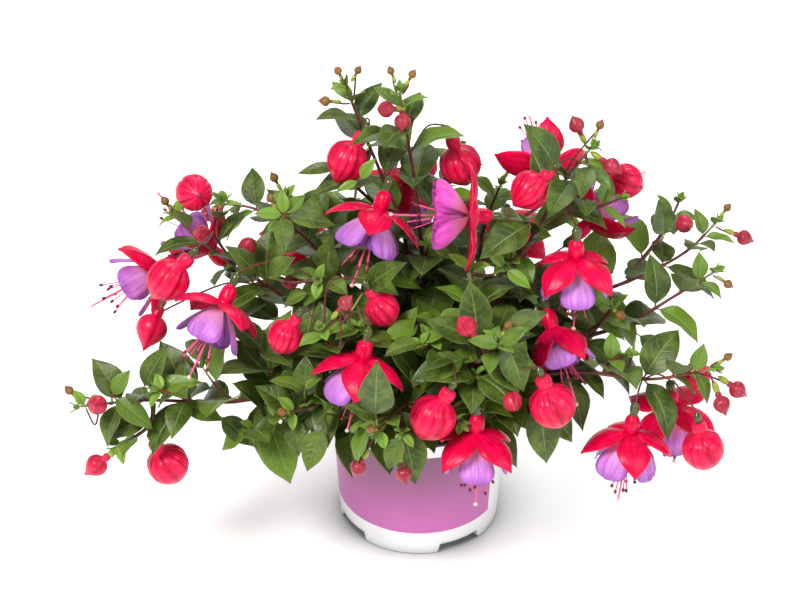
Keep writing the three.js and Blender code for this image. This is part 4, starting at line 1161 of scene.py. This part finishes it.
SEPAL_OUTLINE = (
    (0, 0), (0.004, 0.2), (0.08, 0.27), (0.16, 0.36), (0.26, 0.45), (0.38, 0.5), (0.5, 0.49), (0.62, 0.44),
    (0.74, 0.35), (0.84, 0.23), (0.91, 0.125), (0.955, 0.06), (0.985, 0.04), (1, 0),
)
OUTER_OUTLINE = (
    (0, 0), (0.004, 0.14), (0.12, 0.2), (0.26, 0.31), (0.42, 0.44), (0.58, 0.55), (0.72, 0.6), (0.84, 0.57),
    (0.92, 0.48), (0.97, 0.33), (1, 0),
)
INNER_OUTLINE = (
    (0, 0), (0.004, 0.2), (0.15, 0.3), (0.35, 0.48), (0.55, 0.66), (0.74, 0.74), (0.88, 0.66), (0.96, 0.42),
    (1, 0),
)
TUBE_PROFILE = (
    (-12, 2.7), (-11.4, 3.0), (-10.2, 4.0), (-8, 4.7), (-5, 4.9), (-2.6, 4.75), (-1, 4.3), (0, 4.25),
    (1.0, 3.7),
)


def add_calyx(red, pink, bloom, number):
    rows = [(TUBE_START, 0), *smooth_profile(TUBE_PROFILE, 4), (1.2, 0)]
    ribs = lambda turn, part: 1 + 0.03 * np.cos(4 * turn) * part
    lathe(red, bloom.mouth, bloom.axis, rows, 1, 32, (0, 1, 0), ribs)
    for k in range(4):
        chance = draw(number, k, 5)

        def lift(side, part, half):
            roll = 0.35 * half * side**2 * (1 - 0.35 * part)
            keel = 0.3 * np.exp(-((side / 0.1) ** 2)) * (part > 0.05)
            wave = 0.06 * half * np.sin(5 * part + 6 * chance + np.sign(side)) * side**2
            return keel + wave - roll

        arc = bloom.arc(SEPAL, bloom.turn + 90 * k, *bloom.curl, SEPAL.length)
        blade(red, arc, SEPAL_OUTLINE, SEPAL.width, 0.9, lift, (chance, 1, 0))
    for k in range(8):
        turn = bloom.turn + 45 * k + 12 * (draw(number, k, 6) - 0.5)
        end = STAMENS.end - 9 * draw(number, k, 7)
        reach = 4 + 6 * draw(number, k, 8)
        route = ((1, 1.1), (STAMENS.column, 1.6), (0.6 * end, 0.42 * reach), (end, reach))
        places = Line([bloom.at(*knot, turn) for knot in route], 6).points
        tube(pink, places, np.full(len(places), 0.36), 6)
        tip, way = places[-1], unit(places[-1] - places[-2])
        anther = ((-0.2, 0), (-0.1, 0.5), (0.6, 0.95), (1.6, 0.95), (2.3, 0.5), (2.5, 0))
        lathe(pink, tip, way, smooth_profile(anther, 2), 1, 8, (1, 0, 0))
    route = ((1, 0), (20, 0), (36, 0.4), (STAMENS.style - 2, 0))
    places = Line([bloom.at(*knot, bloom.turn) for knot in route], 6).points
    tube(pink, places, np.full(len(places), 0.55), 8)
    knob = ((-0.6, 0), (0, 0.8), (1, 1.25), (1.9, 1.05), (2.4, 0))
    lobes = lambda turn, part: 1 + 0.15 * np.cos(4 * turn) * part
    lathe(pink, places[-1], bloom.axis, smooth_profile(knob, 3), 1, 16, (0, 1, 0), lobes)


def add_corolla(violet, bloom, number, magenta):
    layers = (
        (OUTER_PETAL, OUTER_OUTLINE, 0, 0, 1.0), (INNER_PETAL, INNER_OUTLINE, 0, 0.1, 1.0),
        (INNER_PETAL, INNER_OUTLINE, 45, 0.2, 0.92),
    )
    for shape, outline, offset, use, scale in layers:
        for k in range(4):
            chance = draw(number, k + 10 * offset, 9)

            def lift(side, part, half):
                cup = 0.16 * half * side**2
                lap = 0.07 * half * side * part
                ruffle = 0.1 * half * np.sin(7 * side + 9 * chance) * part**2
                edge = 0.08 * half * np.sin(14 * side + 5 * chance) * part**6
                return lap + ruffle + edge - cup

            turn = bloom.turn + 45 + 90 * k + offset
            start = shape.start * (1 - 0.5 * use) + bloom.flare + 2
            end = shape.end + bloom.flare + 4 + 6 * (chance - 0.5)
            arc = bloom.arc(shape, turn, start, end, 1.07 * shape.length * scale * bloom.opened)
            blade(violet, arc, outline, shape.width * bloom.opened, 0.5, lift, (chance, magenta, 0))


BUD_PROFILE = (
    (BUD_START, 0.26), (-0.5, 0.33), (-0.3, 0.36), (-0.1, 0.34), (0, 0.3), (0.06, 0.38), (0.2, 0.63),
    (0.4, 0.86), (0.7, 0.98), (1, 1), (1.3, 0.94), (1.6, 0.75), (1.85, 0.47), (2, 0.24),
    (2.09, 0.11), (2.15, 0),
)


def add_bud(piece, bud, number):
    axis = unit(vector(bud.axis))
    neck = vector(bud.place) - axis * bud.radius

    def relief(turn, part):
        swollen = np.clip((part - 0.2) / 0.1, 0, 1) * np.clip((1 - part) / 0.12, 0, 1)
        sweep = turn + 0.5 * part
        bent = 6 * sweep + 0.9 * np.sin(3 * part) + 0.6 * np.sin(3 * turn)
        creases = np.exp(-((np.sin(bent) / 0.36) ** 2)) * (0.72 + 0.28 * np.cos(5 * turn + number))
        return 1 - swollen * (1 - seams(sweep) + CREASE * creases)

    rows = [(BUD_START, 0), *smooth_profile(BUD_PROFILE, 4)]
    lathe(piece, neck, axis, rows, bud.radius, 160, (draw(number, 0, 10), 1, 0), relief)


# ---- pot and soil --------------------------------------------------------------------------------
def add_pot(piece):
    """Rings of the pot's profile, with arches cut up into its foot."""
    sides = 288
    turns = turns_of(sides)
    from_arch = (np.degrees(turns) - FOOT_ARCH.first + 45) % 90 - 45
    arch = np.clip((FOOT_ARCH.spread / 2 - np.abs(from_arch)) / 1.6, 0, 1)
    wall_top = POT.height - POT.rim_depth
    lip = 1.1
    outer = [
        (0, 0, 0, 0), (FOOT_ARCH.inner, 0, 0, 0), (FOOT_ARCH.inner + 0.3, 0, 1, 0), (POT.base - 0.6, 0, 1, 0),
        (POT.base, 0.6, 0.92, 0),
    ]
    outer += [(mix(POT.base, POT.top, part), wall_top * part, 0, 0) for part in (0.1, 0.3, 0.6, 0.85, 0.995)]
    rim = [
        (POT.top + 0.3, wall_top, 0, 0), (POT.top + 0.4, wall_top, 0, 1), (POT.rim - 0.5, wall_top, 0, 1),
        (POT.rim, wall_top + 0.6, 0, 1), (POT.rim, POT.height - lip, 0, 1),
        (POT.rim - 0.4, POT.height - 0.3, 0, 1), (POT.rim - lip, POT.height, 0, 1),
        (POT.top - POT.wall + 0.4, POT.height - 0.1, 0, 1), (POT.top - POT.wall, POT.height - 0.7, 0, 1),
    ]
    inner = [
        (POT.base - POT.wall, POT.floor + 0.6, 1, 1), (POT.base - POT.wall - 0.6, POT.floor, 1, 1),
        (FOOT_ARCH.inner + 1.5, POT.floor, 1, 1), (FOOT_ARCH.inner - 0.9, POT.floor, 0, 1),
        (0, POT.floor, 0, 1),
    ]
    for rows in (outer + rim[:1], rim[1:] + inner):
        radius, height, raised, black = vector(rows).T[:, :, None]
        z = np.maximum(height, height + raised * arch * (FOOT_ARCH.height - 0.4 * height))
        points = stacked(radius * np.cos(turns), radius * np.sin(turns), z)
        piece.add(points, (0, 0, 0), (black[0, 0], 0, 0))


def cut_drains(pot):
    """Cuts the four round drain holes through the arched parts of the pot's floor."""
    for k in range(4):
        turn = math.radians(FOOT_ARCH.first + 90 * k)
        place = (DRAIN.at * MM * math.cos(turn), DRAIN.at * MM * math.sin(turn), FOOT_ARCH.height * MM)
        bpy.ops.mesh.primitive_cylinder_add(
            vertices=32, radius=DRAIN.radius * MM, depth=2 * FOOT_ARCH.height * MM, location=place
        )
        cutter = bpy.context.object
        hole = pot.modifiers.new("drain", "BOOLEAN")
        hole.operation, hole.object, hole.solver = "DIFFERENCE", cutter, "EXACT"
        with bpy.context.temp_override(object=pot, active_object=pot):
            bpy.ops.object.modifier_apply(modifier=hole.name)
        bpy.data.objects.remove(cutter)


def add_soil(piece):
    """A crumbly top with a plain side and base."""
    sides = 144
    turns = turns_of(sides)
    low, wall = (
        mix(POT.base, POT.top, height / (POT.height - POT.rim_depth)) - POT.wall - 2 * GAP
        for height in (SOIL.bottom, SOIL.top)
    )
    radii = np.concatenate(([0, low, wall], wall * (1 - np.linspace(0.02, 1, 40)), [0]))[:, None]
    heights = np.concatenate(([SOIL.bottom, SOIL.bottom], np.full(len(radii) - 2, SOIL.top - 0.4)))[:, None]
    lumps = np.random.default_rng(7).normal(0, 0.5, (len(radii), sides))
    lumps = (lumps + np.roll(lumps, 1, 1) + np.roll(lumps, 1, 0)) / 1.7
    lumps[:3] = lumps[-2:] = 0
    piece.add(stacked(radii * np.cos(turns), radii * np.sin(turns), heights + lumps), (0, 0, 0))


# ---- the plant -----------------------------------------------------------------------------------
LOOKS = Facts(
    leaf=leaf_look(), stem=stem_look(), stalk=stalk_look(), ovary=ovary_look(), sepal=sepal_look(),
    bud=bud_look(), petal=petal_look(), stamen=stamen_look(), pot=pot_look(), soil=soil_look(),
)

MAGENTA_BLOOM = 1
ROSETTES = 0.4  # the share of the twigs that end in small new leaves
room = Room()


def finish_solid(piece):
    """Keeps a bloom's or bud's room and view free, and makes its mesh."""
    points = np.concatenate(piece.points)
    room.fill(points)
    room.show(points)
    piece.make()


for k, thing in enumerate(BLOOMS):
    name = f"bloom_{k + 1:02d}"
    bloom = Bloom(thing)
    red = Piece(name + "_sepals", LOOKS.sepal, "calyx", name + "_calyx")
    pink = Piece(name + "_stamens", LOOKS.stamen, "calyx", name + "_calyx")
    violet = Piece(name + "_petals", LOOKS.petal, "corolla", name + "_corolla")
    add_calyx(red, pink, bloom, 200 + k)
    add_corolla(violet, bloom, 200 + k, 1.0 if k == MAGENTA_BLOOM else 0.1)
    for piece in (red, pink, violet):
        finish_solid(piece)

for k, thing in enumerate(BUDS):
    name = f"bud_{k + 1:02d}"
    bud = Piece(name + "_sepals", LOOKS.bud, "bud", name)
    add_bud(bud, thing, 300 + k)
    finish_solid(bud)

plants = [grow(shoot, k) for k, shoot in enumerate(SHOOTS)]
for plant in plants:
    for arc, _, _ in plant.leaves:
        room.fill(spread_of(arc))
    for stem in plant.stems:
        room.fill(stem.line.points)

for k, (shoot, plant) in enumerate(zip(SHOOTS, plants)):
    name = "shoot_" + shoot.name
    leaves = Piece(name + "_leaves", LOOKS.leaf, "foliage", name)
    stems = Piece(name + "_stems", LOOKS.stem, "foliage", name)
    for arc, number, leaf in plant.leaves:
        add_leaf(leaves, arc, draw(number, leaf, 11))
    for stem in plant.stems:
        add_stem(stems, stem, stem is plant.stems[0])
        add_tip(leaves, stem)
    for i, (on, foot, *tips) in enumerate(SPRAYS):
        if on == shoot.name:
            add_spray(leaves, stems, plant, foot, tips, 400 + i)
    more = fill_out(room, plant)
    for arc, number, leaf in more.leaves:
        add_leaf(leaves, arc, draw(number, leaf, 11))
    for i, places in enumerate(more.twigs):
        add_twig(stems, places, 1.15, 0.5)
        way = unit(places[-1] - places[-2])
        for side in range(4 if draw(k, i, 13) < ROSETTES else 0):
            inner = side % 2
            root = places[-1] - way * (1.5 + inner)
            arc = leaf_arc(Spot(root, way, sides_of(way)), side, 11 - 3 * inner, i, side, (10, 0, 1))
            add_leaf(leaves, arc, draw(i, side, 12))
    stalks = Piece(name + "_stalks", LOOKS.stalk, "foliage", name)
    ovaries = Piece(name + "_ovaries", LOOKS.ovary, "foliage", name)
    small = Piece(name + "_small_buds", LOOKS.bud, "bud", name)
    for stalk in plant.stalks:
        add_stalk(stalks, ovaries, small, stalk)
    for piece in (leaves, stems, stalks, ovaries, small):
        if piece.count:
            piece.make()

pot_piece = Piece("nursery_pot", LOOKS.pot, "pot", "pot")
add_pot(pot_piece)
cut_drains(pot_piece.make())
soil_piece = Piece("potting_soil", LOOKS.soil, "soil", "soil")
add_soil(soil_piece)
soil_piece.make()

# ---- floor, light and camera ---------------------------------------------------------------------
floor_mesh = bpy.data.meshes.new("floor")
reach = 4.0
corners = [(reach * x, reach * y, 0) for x, y in ((-1, -1), (1, -1), (1, 1), (-1, 1))]
floor_mesh.from_pydata(corners, [], [(0, 1, 2, 3)])
floor_mesh.materials.append(floor_look())
placed("floor", floor_mesh)


def lamp(name, place, size, power, colour, target=(0, 0, 0.15)):
    light = bpy.data.lights.new(name, "AREA")
    light.shape, light.size, light.energy, light.color = "DISK", size, power, colour
    lamp_object = placed(name, light)
    way = Vector(target) - Vector(place)
    lamp_object.location = place
    lamp_object.rotation_euler = way.to_track_quat("-Z", "Y").to_euler()


lamp("key", (-0.9, -1.1, 1.9), 0.8, 46, (1, 0.985, 0.96))
lamp("fill", (1.3, -0.9, 1.2), 1.2, 14, (0.98, 0.99, 1))
lamp("back", (0.3, 1.3, 1.6), 1.0, 14, (1, 1, 1))

world = bpy.data.worlds.new("studio")
world.use_nodes = True
backdrop = world.node_tree.nodes["Background"].inputs
backdrop["Color"].default_value = (1, 1, 1, 1)
backdrop["Strength"].default_value = 0.34
bpy.context.scene.world = world

bpy.context.scene.view_settings.view_transform = "Standard"

camera_data = bpy.data.cameras.new("camera")
camera_data.sensor_width = 36
camera_data.lens = 128.25
camera = placed("camera", camera_data)
camera.location = (-0.012467, -1.478574, 1.200927)
camera.rotation_euler = (math.radians(55), 0, 0)
bpy.context.scene.camera = camera
